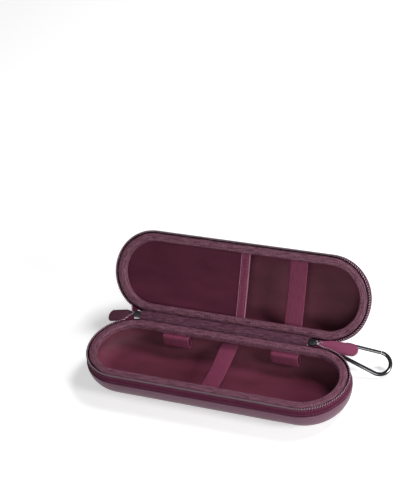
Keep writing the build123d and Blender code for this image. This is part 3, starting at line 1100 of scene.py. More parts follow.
class Finishes:
    """Every finish of the case."""

    # Satin film over foam: its gloss spreads wide and shows the pressed grain at the edge.
    skin = MouldedSkin("moulded_pu_eva", "#563142", "#623b4d", 0.42, gloss=0.4)
    # A cut foam face drinks light and shows only where the binding leaves a slit.
    foam = ClosedFoam("closed_cell_eva", "#2a1620", "#3a2230", 0.95)
    # The short nap scatters light: matt, and paler where the eye meets it at a low angle.
    lining = BrushedTricot(
        "brushed_tricot", "#4e1e2d", "#672d41", 0.72, sheen=0.1, gloss=0.45
    )
    panel = BrushedTricot(
        "pocket_tricot", "#43192a", "#542536", 0.9, sheen=0.06, gloss=0.15
    )
    # Heavy ribs; the rims' sparkle is painted into the colour as lighter flecks: painted glints.
    binding = Woven(
        "grosgrain_polyester", "#3f1e2b", "#875a6b", 0.6, sheen=0.05, gloss=0.25,
        rib=1.5, end=1.1, depth=0.2, painted_glint=0.65,
    )
    fold = Woven(
        "hinge_grosgrain_polyester", "#331625", "#6f4858", 0.65, gloss=0.2,
        rib=1.5, end=1.1, depth=0.2, painted_glint=0.5,
    )
    # Close flat weave, deep maroon and nearly without gloss beside the film of the shell.
    tape = Woven(
        "zipper_tape_polyester", "#42142a", "#561d36", 0.8, gloss=0.12, rib=0.9, painted_glint=0.1
    )
    # Plain oxford weave: an even, square grain on the outside of the hinge.
    spine = Woven(
        "spine_oxford_polyester", "#4a2534", "#6d4053", 0.7, sheen=0.05, gloss=0.2,
        rib=0.8, end=0.8,
    )
    # Knitted elastic: smooth bright yarns in cords along the band.
    elastic = Woven(
        "elastic_webbing", "#672c44", "#793a51", 0.75, sheen=0.08, gloss=0.2,
        rib=0.9, end=1.3, painted_glint=0.08,
    )
    # Satin floats along the cord catch a line of light, partly painted in as a paler colour.
    piping = Woven(
        "satin_piping", "#7d4760", "#9a6379", 0.5, sheen=0.1, gloss=0.35, rib=0.8, end=0.8
    )
    # Drawn nylon over dark tape: its thin line of highlights is painted in as a pale grey colour.
    coil = Monofilament("nylon_monofilament", "#80707a", "#a3969d", 0.3)
    # Paler than the cloth, so that each row of stitches reads as dashes.
    thread = SpunThread("spun_polyester_thread", "#5a3043", "#8a6273", 0.6)
    # The same film on cloth and on cast zinc: satin, and brighter on the pulls.
    tab = MouldedSkin("coated_cloth_pu", "#7b3a56", "#8a4763", 0.4)
    lacquer = MouldedSkin("lacquered_zinc", "#4a2233", "#55293c", 0.4)
    # Plating mirrors its surroundings; the duller one has a broader highlight.
    # Both plated colours are kept dark grey: painted shade for the dark surroundings they mirror.
    nickel = PlatedMetal("nickel_plated_zinc", "#66686b", "#7f8184", 0.26, metallic=1.0)
    chrome = PlatedMetal("polished_steel", "#6c6e72", "#888a8e", 0.1, metallic=1.0)
    spring = PlatedMetal("spring_steel", "#8d8c8b", "#a5a4a3", 0.3, metallic=1.0)


def dress(
    piece: bpy.types.Object, finish: Finish, slot: str, body: str | None, *nodes: str
) -> None:
    """Gives a piece its finish and its place in the model.

    Args:
        piece: The finished mesh.
        finish: Its finish.
        slot: The record's material slot; not used.
        body: The body it rides on, or None where it bends between two.
        nodes: The solids that it stands for.
    """
    piece.data.materials.clear()
    piece.data.materials.append(finish.material())
    if nodes:
        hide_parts(*nodes)
    if body:
        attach(piece, body)
    LOG.info("%s: %d faces, %s", piece.name, len(piece.data.polygons), finish.name)


def refinish(node: bpy.types.Object, finish: Finish) -> None:
    """Gives a carried-over solid its finish.

    Args:
        node: The solid.
        finish: Its finish.
    """
    if not node.data.materials:
        node.data.materials.append(finish.material())
    for i in range(len(node.data.materials)):
        node.data.materials[i] = finish.material()
    LOG.info("%s: %s", node.name, finish.name)


# ---- the two halves ----------------------------------------------------------------------------
@dataclass
class Scoop:
    """The relief pressed into the lid's top: a crease and the soft hollow under it."""

    depth: float = 3.0
    clear: float = 0.6
    deepest: float = 1.6
    start: float = TEETH_LENGTH / 2 - 14.75
    finish: float = -TEETH_LENGTH / 2 + 16.75
    fade: float = 34.0
    crease_mid: float = 0.28 * TEETH_WIDTH
    crease_slope: float = 0.155
    crease_wall: float = 3.2
    pad_mid: float = -0.173 * TEETH_WIDTH
    pad_slope: float = 0.36
    blend: float = 0.7

    def height(self, x: float, toward: float) -> float:
        """Depth of the pressed surface from the rim plane.

        Args:
            x: Place along the case.
            toward: Place towards the hinge.

        Returns:
            The depth.
        """
        crease = self.crease_mid + self.crease_slope * x
        pad = self.pad_mid + self.pad_slope * x
        ends = eased(clamped(min(self.start - x, x - self.finish) / self.fade))
        wall = eased(clamped((crease - toward) / self.crease_wall))
        span = max(1.0, crease - self.crease_wall - pad)
        rise = min(self.deepest, max(0.0, (crease - self.crease_wall - toward) / span))
        deep = ends * (wall - rise * rise)
        return HALF_DEPTH + self.clear - (self.depth + self.clear) * deep

    def press(self, x: float, toward: float, depth: float, drop: float) -> float:
        """The lesser of a depth and the pressed surface's, run together softly.

        Args:
            x: Place along the case.
            toward: Place towards the hinge.
            depth: The flat wall's depth.
            drop: How far the wall lies under the skin.

        Returns:
            The depth once pressed.
        """
        a, b = depth, self.height(x, toward) - drop
        share = max(0.0, self.blend - abs(a - b)) / self.blend
        return min(a, b) - share * share * self.blend / 4


@dataclass
class CaseHalf:
    """One half of the case: moulded shell, lining, rim binding and its side of the zipper."""

    half: Half
    draft: float = 0.0
    lining_area: float = 0.0302
    scoop: Scoop | None = None
    ring_step: float = 2.5
    pressed_step: float = 1.6
    draft_fade: float = 0.8
    lip_round: float = 0.5
    foam_play: float = 0.1
    lining_lift: float = 0.35
    lining_wave: float = 22.0
    rim_crown: float = 0.3
    rim_round: float = 1.1
    rim_unevenness: float = 0.12
    rim_wave: float = 9.0
    binding_reach: float = 0.7
    stitch_inset: float = 1.5
    tape_bow: float = 0.22
    tape_edge: float = 0.2
    coil_pitch: float = 2.2
    coil_wire: float = 0.36
    coil_half: tuple[float, float] = (0.8, 0.85)
    filler_radius: float = 0.6
    coil_start: float = CAP_X + 4.6
    coil_end: float = -CAP_X + CAP_RADIUS * math.cos(math.radians(122.0))
    lead_start: float = 4.2
    lead_reach: float = 12.5
    lead_level: float = 0.62
    lead_half: tuple[float, float] = (0.45, 0.475)
    gusset_half: float = 0.25

    def __post_init__(self) -> None:
        """Fetches the half's frame."""
        self.frame = HalfFrame(self.half)
        self.name = self.half.value
        self.is_lid = self.half is Half.LID

    def ring(
        self,
        name: str,
        profile: Profile,
        stations: Sequence[Station],
        closed_along: bool = True,
        closed_around: bool = True,
        welded: bool = False,
        shape: Shape | None = None,
    ) -> bpy.types.Object:
        """Sweeps a profile round the outline.

        Args:
            name: The object's name.
            profile: Points as out and depth.
            stations: Where on the outline the sections stand.
            closed_along: Whether the ring closes.
            closed_around: Whether the profile closes.
            welded: Merges points that coincide.
            shape: Changes the depth of a point at x, toward and depth, by its profile place.

        Returns:
            The new object.
        """
        sections = []
        for x, t, nx, nt, _ in stations:
            row = []
            for k, (out, depth) in enumerate(profile):
                out -= self.drawn_in(out, depth, nt)
                px, pt = x + nx * out, t + nt * out
                if shape:
                    depth = shape(px, pt, depth, k)
                row.append(self.frame.at(px, pt, depth))
            sections.append(row)
        return loft(
            name, sections, closed_along, closed_around,
            capped=closed_around and not closed_along, welded=welded,
        )

    def drawn_in(self, out: float, depth: float, nt: float) -> float:
        """How far a point moves in because the wall leans.

        Args:
            out: Its place outwards from the teeth.
            depth: Its depth.
            nt: The outward normal's part towards the hinge, where the wall stands upright.

        Returns:
            The move, which fades out towards the centre line.
        """
        share = eased(clamped((1.0 - nt) / self.draft_fade))
        share *= (out + CAP_RADIUS) / CAP_RADIUS
        return math.tan(math.radians(self.draft)) * max(0.0, depth - TAPE_TOP) * share

    def bowl_side(
        self, out: float, start: float, end: float, radius: float, rings: int = 8
    ) -> Profile:
        """A wall that leans in below the tape, a rounded edge and a flat.

        Args:
            out: Where the wall starts, outwards from the teeth.
            start: The depth at which it starts.
            end: The flat's depth.
            radius: The rounded edge's radius.
            rings: How many steps the flat has.

        Returns:
            The profile, up to the centre line.
        """
        lean = math.radians(WALL_TAPER)
        knee = end - radius * (1 - math.sin(lean))
        knee_out = out - (knee - TAPE_BOTTOM) * math.tan(lean)
        upright = run((out, start), (out, TAPE_BOTTOM), 3)
        leaning = run((out, TAPE_BOTTOM), (knee_out, knee), 3)
        bend = arc(knee_out - radius * math.cos(lean), end - radius, radius, WALL_TAPER, 90, 16)
        flat = run(bend[-1], (-CAP_RADIUS, end), rings)[1:]
        return upright + leaning + bend + flat + [(-CAP_RADIUS, end)]

    def pressing(self, border: int, inner: float | None, outer: float) -> Shape | None:
        """The relief that is pressed into a wall of this half.

        Args:
            border: The profile place at which the inner face ends.
            inner: How far the inner face lies under the skin, or None where it stays flat.
            outer: How far the outer face lies under the skin.

        Returns:
            The change of depth, or None for a half without relief.
        """
        scoop = self.scoop
        if not scoop:
            return None

        def pressed(x: float, toward: float, depth: float, place: int) -> float:
            """The depth of a point once it is pressed."""
            drop = inner if place < border else outer
            return depth if drop is None else scoop.press(x, toward, depth, drop)

        return pressed

    def build_shell(self) -> None:
        """Moulded outer skin with a turned lip at the tape."""
        rings, lip = 18 if self.scoop else 8, self.lip_round
        floor, edge = HALF_DEPTH - SKIN_THICK, EDGE_ROUND - SKIN_THICK
        outer = self.bowl_side(SKIN_THICK, TAPE_BAND + lip, HALF_DEPTH, EDGE_ROUND, rings)
        inner = self.bowl_side(0.0, TAPE_BAND, floor, edge, rings)
        turned_lip = arc(SKIN_THICK - lip, TAPE_BAND + lip, lip, -90, -10, 4)
        skin = self.ring(
            f"{self.name}_moulded_shell", inner[::-1] + turned_lip + outer,
            outline(self.pressed_step if self.scoop else self.ring_step),
            closed_around=False, welded=True,
            shape=self.pressing(len(inner), SKIN_THICK, 0.0),
        )
        dress(skin, Finishes.skin, "shell_skin", self.name, f"{self.name}_outer_skin")

    def build_foam(self) -> None:
        """Foam tray between shell and lining, with the flange that carries the rim's binding."""
        floor, edge, play = HALF_DEPTH - SKIN_THICK, EDGE_ROUND - SKIN_THICK, self.foam_play
        outer = self.bowl_side(-play, GROOVE_DEPTH, floor - play, edge)
        inner = self.bowl_side(
            play - FOAM_THICK, FLANGE_BOTTOM, floor - FOAM_THICK + play, edge - FOAM_THICK
        )
        flange = [
            (-FLANGE_WIDTH, FLANGE_BOTTOM), (-FLANGE_WIDTH, BINDING_THICK),
            (-GROOVE_WIDTH, BINDING_THICK), (-GROOVE_WIDTH, GROOVE_DEPTH),
        ]
        foam = self.ring(
            f"{self.name}_foam_tray", inner[::-1] + flange + outer, outline(3.0),
            closed_around=False, welded=True,
            shape=self.pressing(len(inner) + len(flange), None, SKIN_THICK + play),
        )
        dress(foam, Finishes.foam, "foam", self.name, f"{self.name}_foam_core")

    def build_lining(self) -> None:
        """Brushed lining, moulded into the hollow, with the slight waves of laminated cloth."""
        floor = HALF_DEPTH - SKIN_THICK - FOAM_THICK
        edge = EDGE_ROUND - SKIN_THICK - FOAM_THICK
        outer = self.bowl_side(-FOAM_THICK, FLANGE_BOTTOM, floor, edge)
        inner = self.bowl_side(
            -FOAM_THICK - LINING_THICK, FLANGE_BOTTOM, floor - LINING_THICK, edge - LINING_THICK
        )
        seed = 7.0 if self.is_lid else 3.0

        def waved(x: float, toward: float, depth: float, place: int) -> float:
            """Lifts the visible face by up to a third of a millimetre.

            Args:
                x: Place along the case.
                toward: Place towards the hinge.
                depth: The smooth depth.
                place: The profile place.

            Returns:
                The depth once waved.
            """
            if place < len(outer) or depth < floor - edge:
                return depth
            lift = 0.5 + 0.5 * ripple(Vector((x, toward, seed)), self.lining_wave)
            return depth - self.lining_lift * lift

        lining = self.ring(
            f"{self.name}_brushed_lining", outer[::-1] + inner, outline(self.ring_step),
            closed_around=False, shape=waved,
        )
        self.close_seams(lining)
        dress(lining, Finishes.lining, "lining", self.name, f"{self.name}_lining")

    def close_seams(self, piece: bpy.types.Object) -> None:
        """Welds a ring along the centre line and joins its two faces at the rim's edge.

        Args:
            piece: The ring.
        """
        work = bmesh.new()
        work.from_mesh(piece.data)
        bmesh.ops.remove_doubles(work, verts=work.verts, dist=WELD)
        loose = [e for e in work.edges if e.is_boundary]
        if loose:
            bmesh.ops.bridge_loops(work, edges=loose)
        bmesh.ops.recalc_face_normals(work, faces=work.faces)
        work.to_mesh(piece.data)
        work.free()

    def build_binding(self) -> None:
        """Grosgrain binding over the rim, crowned by the foam under it and turned down inside."""
        r, steps = self.rim_round, 9
        outer, inner = -GROOVE_WIDTH + self.binding_reach, -BINDING_WIDTH
        width = outer - inner - 2 * r
        profile = run((outer, BINDING_THICK), (outer, r), 2)
        profile += arc(outer - r, r, r, 0, -90, 5)
        for share in (i / steps for i in range(1, steps)):
            profile.append((outer - r - width * share, -self.rim_crown * math.sin(math.pi * share)))
        profile += arc(inner + r, r, r, -90, -180, 5)
        profile += run((inner, r), (inner, FLANGE_BOTTOM), 3)[1:]
        profile += [
            (inner, FLANGE_BOTTOM), (-FLANGE_WIDTH, FLANGE_BOTTOM), (-FLANGE_WIDTH, BINDING_THICK),
        ]
        seed = 17.0 if self.is_lid else 11.0

        def uneven(x: float, toward: float, depth: float, place: int) -> float:
            """Soft hand of the cloth over the foam."""
            if depth > r:
                return depth
            return depth + self.rim_unevenness * ripple(Vector((x, toward, seed)), self.rim_wave)

        binding = self.ring(
            f"{self.name}_rim_grosgrain", profile, outline(1.8), shape=uneven
        )
        dress(binding, Finishes.binding, "binding", self.name, f"{self.name}_rim_binding")
        inset = self.stitch_inset - BINDING_WIDTH
        self.sew_round("rim_stitches", StitchRow(), outline(2.0), inset, -0.12, on_rim=True)

    def sew_round(
        self,
        label: str,
        row: StitchRow,
        stations: Sequence[Station],
        out: float,
        depth: float,
        on_rim: bool = False,
    ) -> None:
        """Sews a row of stitches along the outline.

        Args:
            label: What the row is called.
            row: The kind of row.
            stations: Where it runs.
            out: Its place outwards from the teeth.
            depth: Its depth.
            on_rim: Whether it lies on the rim's face and closes, or on the tape.
        """
        path = []
        for x, t, nx, nt, _ in stations:
            drawn = out - self.drawn_in(out, depth, nt)
            path.append(self.frame.at(x + nx * drawn, t + nt * drawn, depth))

        def face(share: float) -> Vector:
            """Which way the cloth faces.

            Args:
                share: Share of the row.

            Returns:
                The direction.
            """
            if on_rim:
                return -self.frame.inward
            _, _, nx, nt, _ = stations[min(len(stations) - 1, int(share * len(stations)))]
            return Vector((nx, 0, 0)) + self.frame.toward * nt

        made = row.sew(f"{self.name}_{label}", path, face, closed=on_rim)
        dress(made, Finishes.thread, "binding" if on_rim else "zip_tape", self.name)

    def bowed(self, depth: float) -> float:
        """How far the tape bows out at a depth, between the coil and the shell."""
        share = min(1.0, (depth - TAPE_TOP) / (TAPE_BAND - TAPE_TOP))
        return self.tape_bow * math.sin(math.pi * share)

    def build_tape(self) -> None:
        """Zipper tape all round but for the spine, with a row of stitches by each edge."""
        steps, edge, back = 12, self.tape_edge, self.tape_edge - TAPE_THICK
        top, bottom = TAPE_TOP + edge, TAPE_BOTTOM - edge
        levels = [top + (bottom - top) * i / steps for i in range(steps + 1)]
        profile = [(self.bowed(depth), depth) for depth in levels]
        profile += [(-edge, TAPE_BOTTOM), (back, TAPE_BOTTOM)]
        profile += [(-TAPE_THICK, depth) for depth in reversed(levels)]
        profile += [(back, TAPE_TOP), (-edge, TAPE_TOP)]
        stations = outline(2.0, SPINE_END, SPINE_START)
        tape = self.ring(f"{self.name}_zipper_cloth", profile, stations, closed_along=False)
        dress(tape, Finishes.tape, "zip_tape", self.name, f"{self.name}_zip_tape")
        for label, depth in (("band_stitches", BAND_ROW), ("coil_stitches", TAPE_TOP + 1.1)):
            self.sew_round(label, FINE_ROW, stations, self.bowed(depth), depth)

    def build_coil(self) -> None:
        """Wound nylon teeth on the tape's edge, over their filler cord."""
        half_out, half_depth = (size - self.coil_wire for size in self.coil_half)
        stations = outline(0.6, self.coil_start, self.coil_end)
        marks, place = spaced([Vector((x, t, 0)) for x, t, *_ in stations], False)
        normals = [Vector((nx, nt, 0)) for *_, nx, nt, _ in stations]
        per_turn = 8
        count = int(marks[-1] / self.coil_pitch * per_turn)
        path = []
        k = 0
        for i in range(count + 1):
            s = marks[-1] * i / count
            while k < len(marks) - 2 and marks[k + 1] < s:
                k += 1
            share = (s - marks[k]) / (marks[k + 1] - marks[k])
            way = normals[k].lerp(normals[k + 1], share)
            spot = place(s)
            a = 2 * math.pi * i / per_turn
            out = TOOTH_OUT + half_out * math.cos(a)
            depth = TOOTH_DEPTH + half_depth * math.sin(a)
            path.append(self.frame.at(spot.x + way.x * out, spot.y + way.y * out, depth))
        teeth = self.wound("nylon_teeth", path)
        cord = [
            self.frame.at(x + nx * TOOTH_OUT, t + nt * TOOTH_OUT, TOOTH_DEPTH)
            for x, t, nx, nt, _ in stations[::2]
        ]
        section = circle(self.filler_radius, 6)
        filler = swept(f"{self.name}_filler_cord", cord, section, self.frame.inward)
        dress(filler, Finishes.tape, "zip_tape", self.name)
        dress(teeth, Finishes.coil, "zip_coil", self.name, f"{self.name}_zip_coil")

    def wound(self, label: str, path: Sequence[Vector]) -> bpy.types.Object:
        """The coil's nylon wire along its winding path."""
        wire, hint = circle(self.coil_wire, 5), Vector((0.3, 0.5, 0.8))
        return swept(f"{self.name}_{label}", path, wire, hint, steady=False)

    def build_lead(self, side: Side) -> None:
        """The last teeth, which leave the rim with a gusset of tape and run into the slider.

        Args:
            side: The slider's side.
        """
        park, sign = side.park, side.sign
        cross = park.z_dir if self.is_lid else -park.z_dir
        level = self.lead_level if self.is_lid else -self.lead_level
        length, rows = self.lead_reach - self.lead_start, 70
        teeth, edge, hem = [], [], []
        for i in range(rows + 1):
            share = eased(i / rows)
            s = sign * (self.lead_start + length * i / rows)
            x, t, nx, nt = self.beside(side.park_x, s)
            x, t = x + nx * TOOTH_OUT, t + nt * TOOTH_OUT
            rim_side = Vector((nx, 0, 0)) + self.frame.toward * nt
            spot = park.at(s, TOOTH_OUT, level).lerp(self.frame.at(x, t, TOOTH_DEPTH), share)
            out_way = park.y_dir.lerp(rim_side, share).normalized()
            deep = cross.lerp(self.frame.inward, share).normalized()
            a = 2 * math.pi * i * length / rows / self.coil_pitch
            half_out, half_deep = self.lead_half
            teeth.append(
                spot + out_way * (half_out * math.cos(a)) + deep * (half_deep * math.sin(a))
            )
            edge.append(spot + deep * 0.5 - out_way * 0.1)
            hem.append(self.frame.at(x, t, TAPE_TOP + 0.9))
        coil = self.wound(f"{side.value}_lead_teeth", teeth)
        sections = []
        for p, q in zip(edge, hem):
            lean = (q - p).normalized().cross(Vector((1, 0, 0))).normalized() * self.gusset_half
            sections.append([p + lean, q + lean, q - lean, p - lean])
        gusset = loft(f"{self.name}_{side.value}_lead_tape", sections, capped=True)
        for piece in (coil, gusset):
            if self.is_lid:
                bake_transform(piece)
            else:
                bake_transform(piece)
        dress(coil, Finishes.coil, "zip_coil", None)
        dress(gusset, Finishes.tape, "zip_tape", None)

    def beside(self, start: float, along: float) -> tuple[float, float, float, float]:
        """The hinge side's outline, a length along from a place on it.

        Args:
            start: The place's x.
            along: The length, towards +X where positive.

        Returns:
            The point as x and toward, and the outward normal's two parts.
        """
        side = 1.0 if start > 0 else -1.0
        beyond = start * side - CAP_X
        turn = math.asin(beyond / CAP_RADIUS) if beyond > 0 else beyond / CAP_RADIUS
        turn += side * along / CAP_RADIUS
        if turn <= 0:
            return side * (CAP_X + turn * CAP_RADIUS), CAP_RADIUS, 0.0, 1.0
        nx, nt = side * math.sin(turn), math.cos(turn)
        return side * CAP_X + CAP_RADIUS * nx, CAP_RADIUS * nt, nx, nt

    def build(self) -> None:
        """Builds every piece of the half."""
        self.build_shell()
        self.build_foam()
        self.build_lining()
        self.build_binding()
        self.build_tape()
        self.build_coil()
        for side in Side:
            self.build_lead(side)


# ---- hinge fabrics -----------------------------------------------------------------------------
@dataclass
class HingeCloths:
    """Spine panel outside and hinge tape inside: cloth that bends as the lid opens."""

    fold_height: float = 5.0
    fold_steps: int = 28
    upright_steps: int = 5
    crease_half: float = 0.45
    wave_height: float = 0.06
    start: tuple[float, float, float] = (0.0, 0.0375, 0.0295)
    end: tuple[float, float, float] = (0.0, 0.0456, 0.0269)

    def folded(self, out: float, height: float) -> Vector:
        """Place of a point of the upright cloth once the lid is open.

        Args:
            out: Its place outwards from the teeth.
            height: Its height on the shut case.

        Returns:
            The point.
        """
        share = eased(clamped((height - HINGE_Z) / self.fold_height))
        return swung(0, CAP_RADIUS + out, height, OPEN_ANGLE * share, HINGE_Y, HINGE_Z)

    def heights(self, depth: float) -> list[float]:
        """Heights of the cloth's points on the shut case.

        Args:
            depth: How far it runs down each wall.

        Returns:
            The heights, from the base's wall to the lid's.
        """
        high = HALF_DEPTH + RIM_GAP + depth
        found = []
        start = HALF_DEPTH - depth
        for end, steps in (
            (HINGE_Z, self.upright_steps), (HINGE_Z + self.fold_height, self.fold_steps),
            (high, self.upright_steps),
        ):
            found += [start + (end - start) * i / steps for i in range(steps)]
            start = end
        return found + [high]

    def strip(
        self,
        name: str,
        x_start: float,
        x_end: float,
        out: float,
        depth: float,
        crease: float = 0.0,
    ) -> bpy.types.Object:
        """A strip of cloth standing in both rear walls and arched between them.

        Args:
            name: The object's name.
            x_start: Its end on the left.
            x_end: Its end on the right.
            out: Its outer face, outwards from the teeth.
            depth: How far it runs down each wall from the rim plane.
            crease: How far its middle line is drawn outwards.

        Returns:
            The new object.
        """
        levels = self.heights(depth)
        count = math.ceil((x_end - x_start) / 2.5)
        sections = []
        for i in range(count + 1):
            x = x_start + (x_end - x_start) * i / count
            row = []
            for face, face_levels in ((out, levels), (out - TAPE_THICK, levels[::-1])):
                for h in face_levels:
                    fold = (h - HINGE_Z - self.fold_height / 2) / self.crease_half
                    p = self.folded(face + crease * math.exp(-fold * fold), h)
                    wave = self.wave_height * ripple(Vector((x, h * 2, out)), 7.0)
                    row.append(Vector((x, p.y + wave, p.z + wave)))
            sections.append(row)
        return loft(name, sections, capped=True)

    def row_on(self, half: Half, height: float) -> None:
        """A row of stitches along the spine panel's edge on one half.

        Args:
            half: The half.
            height: The row's height on the shut case.
        """
        x_start, x_end = SPINE_START + 1, SPINE_END - 1
        spot = self.folded(0.0, height)
        near = self.folded(1.0, height)
        count = int((x_end - x_start) / 2)
        path = [
            Vector((x_start + (x_end - x_start) * i / count, spot.y, spot.z))
            for i in range(count + 1)
        ]
        face = (near - spot).normalized()
        row = FINE_ROW.sew(f"spine_{half.value}_stitches", path, lambda _: face)
        dress(row, Finishes.thread, "spine", half.value)

    def build(self) -> None:
        """Builds both cloths and the spine panel's stitches."""
        spine = self.strip("spine_oxford", SPINE_START, SPINE_END, 0.0, TAPE_BOTTOM)
        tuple(self.start)
        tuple(self.end)
        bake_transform(spine)
        dress(spine, Finishes.spine, "spine", None, "spine_panel")
        tape = self.strip(
            "hinge_grosgrain", -CAP_X - 5.6, CAP_X - 10.4, -1.3, GROOVE_DEPTH, crease=0.7
        )
        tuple(self.start)
        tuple(self.end)
        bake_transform(tape)
        dress(tape, Finishes.fold, "hinge_cloth", None, "hinge_tape")
        self.row_on(Half.BASE, HALF_DEPTH - BAND_ROW)
        self.row_on(Half.LID, HALF_DEPTH + RIM_GAP + BAND_ROW)


# ---- straps, loops and pocket ------------------------------------------------------------------
@dataclass
class Strap:
    """An elastic strap across a half, set straight or askew."""

    name: str
    half: Half
    node: str
    x: float
    skew: float
    depth: float
    sag: float
    width: float
    thick: float = 1.2
    beyond_wall: float = 4.0
    into_wall: float = 0.4
    curl: float = 0.25

    def build(self) -> None:
        """Builds the strap, hollowed along its middle and curled at its selvedges."""
        frame = HalfFrame(self.half)
        anchor = INNER_WALL + self.beyond_wall
        bend = (anchor * anchor + self.sag * self.sag) / (2 * self.sag)
        lean = math.radians(self.skew)
        reach = (INNER_WALL + self.into_wall) / math.cos(lean)
        section = band_section(
            self.width, self.thick, 26, margin=0.4, edge=self.thick * 0.35, cord=0.05, hollow=0.1
        )
        sections = []
        for s in spread(reach, 44):
            depth = self.depth + self.sag - bend + math.sqrt(bend * bend - s * s)
            narrow = 1.0 - 0.03 * math.cos(math.pi * s / (2 * reach))
            row = []
            for a, b in section:
                a *= narrow
                x = self.x - math.sin(lean) * s + math.cos(lean) * a
                toward = math.cos(lean) * s + math.sin(lean) * a
                curl = self.curl * (2 * a / self.width) ** 2
                row.append(frame.at(x, toward, depth + self.thick / 2 + b + curl))
            sections.append(row)
        strap = loft(self.name, sections, capped=True)
        dress(strap, Finishes.elastic, "strap", self.half.value, self.node)


@dataclass
class HeadLoop:
    """A flat elastic loop under the rear rim, for a brush head."""

    name: str
    node: str
    x: float
    width: float = 24.5
    reach: float = 6.8
    drop: float = 11.6
    corner: float = 2.2
    gap: float = 2.3
    thick: float = 1.2
    bulge: float = 0.35
    cord: float = 0.05
    step: float = 1.2

    def build(self) -> None:
        """Builds the loop as a band folded round, softly bulged in front."""
        frame = HalfFrame(Half.BASE)
        middle = INNER_WALL - self.gap - self.reach / 2
        t = self.thick
        ring = rounded_box(self.reach - t, self.drop - t, self.corner - t / 2, 5)
        fine: Profile = []
        for i, p in enumerate(ring):
            q = ring[(i + 1) % len(ring)]
            if math.dist(p, q) > 1e-6:
                fine += run(p, q, max(1, int(math.dist(p, q) / self.step)))
        band = band_section(self.width, t, 20, margin=0.5, edge=t / 2)
        sections = []
        for i in range(len(fine)):
            (a, b), (c, d) = fine[i - 1], fine[(i + 1) % len(fine)]
            way = Vector((c - a, d - b)).normalized()
            side = Vector((way.y, -way.x))
            p = Vector(fine[i])
            row = []
            for u, v in band:
                q = p + side * v
                bulge = self.bulge * (1 - (2 * u / self.width) ** 2) if q.x < 0 else 0.0
                cord = self.cord * math.cos(2 * math.pi * u / STRAP_CORD) * (1 if v > 0 else -1)
                q += side * cord
                depth = FLANGE_BOTTOM + self.drop / 2 + q.y
                row.append(frame.at(self.x + u, middle + q.x - bulge, depth))
            sections.append(row)
        loop = loft(self.name, sections, closed_along=True)
        dress(loop, Finishes.elastic, "strap", "base", self.node)


@dataclass
class Pocket:
    """The cloth pocket in the lid, with its bound and piped mouth."""

    edge_x: float = 2.6
    edge_width: float = 7.6
    edge_thick: float = 2.0
    depth: float = 5.0
    thick: float = 0.8
    slack: float = 1.1
    overlap: float = 1.0
    mouth_bow: float = 0.48
    seam: float = 2.3
    seam_dent: float = 0.22
    piping_out: float = 3.7
    piping_radius: float = 0.75

    def build(self) -> None:
        """Builds the panel and its mouth's binding."""
        frame = HalfFrame(Half.LID)
        start = 0.15 - CAP_X - INNER_WALL
        end = self.edge_x - self.edge_width / 2 + self.overlap
        rows, cols = 70, 30
        sections = []
        for i in range(rows + 1):
            share = i / rows
            x = start + (end - start) * (eased(share) * 0.35 + share * 0.65)
            beyond = max(0.0, -CAP_X - x)
            width = math.sqrt(max(0.04, INNER_WALL * INNER_WALL - beyond * beyond))
            face, back = [], []
            for t in spread(width, cols):
                room = math.cos(math.pi * t / (2 * width)) * math.sin(math.pi * share) ** 0.5
                fold = 0.3 * ripple(Vector((x * 0.6, t * 1.8, 5.0)), 14.0)
                fold += 0.2 * ripple(Vector((x, t, 1.0)), 30.0)
                depth = self.depth + room * (self.slack + fold)
                face.append(frame.at(x, t, depth))
                back.append(frame.at(x, t, depth + self.thick))
            sections.append(face + back[::-1])
        panel = loft("pocket_cloth", sections, capped=True)
        dress(panel, Finishes.panel, "lining", "lid", "lid_pocket_panel")
        self.build_mouth(frame)

    def along_mouth(self, frame: HalfFrame, x: float, level: float, reach: float) -> Section:
        """A line along the mouth, which bows a little deeper in its middle.

        Args:
            frame: The lid's frame.
            x: Its place from the mouth's middle.
            level: Its depth from the cloth's middle.
            reach: How far it runs from the lid's centre line, both ways.

        Returns:
            Its points in millimetres.
        """
        middle = self.depth + self.thick / 2 + level
        return [
            frame.at(self.edge_x + x, t, middle + self.bowed(t)) for t in spread(reach, 40)
        ]

    def bowed(self, toward: float) -> float:
        """How much deeper the mouth lies at a place across the lid."""
        return self.mouth_bow * math.cos(math.pi * toward / (2 * INNER_WALL))

    def build_mouth(self, frame: HalfFrame) -> None:
        """Binding folded over the pocket's edge, with piping and stitches along each side.

        Args:
            frame: The lid's frame.
        """
        middle = self.depth + self.thick / 2
        section = rounded_box(self.edge_width, self.edge_thick, 0.75, 4)
        sections = []
        for t in spread(INNER_WALL + 0.3, 40):
            wider = 1.0 + 0.02 * ripple(Vector((0, t, 3.0)), 6.0)
            row = []
            for a, b in section:
                dent = self.seam_dent * math.exp(-((abs(a) - self.seam) / 0.5) ** 2)
                b -= math.copysign(dent, b)
                row.append(frame.at(self.edge_x + a * wider, t, middle + b + self.bowed(t)))
            sections.append(row)
        mouth = loft("pocket_mouth_binding", sections, capped=True)
        dress(mouth, Finishes.elastic, "binding", "lid", "lid_pocket_edge")
        for side in Side:
            cord = self.along_mouth(frame, side.sign * self.piping_out, -0.35, INNER_WALL + 0.2)
            piping = swept(
                f"pocket_{side.value}_piping", cord, circle(self.piping_radius, 12), frame.inward
            )
            dress(piping, Finishes.piping, "binding", "lid")
            path = self.along_mouth(frame, side.sign * self.seam, -0.95, INNER_WALL - 0.5)
            row = StitchRow().sew(
                f"pocket_{side.value}_stitches", path, lambda _: -frame.inward
            )
            dress(row, Finishes.thread, "binding", "lid")


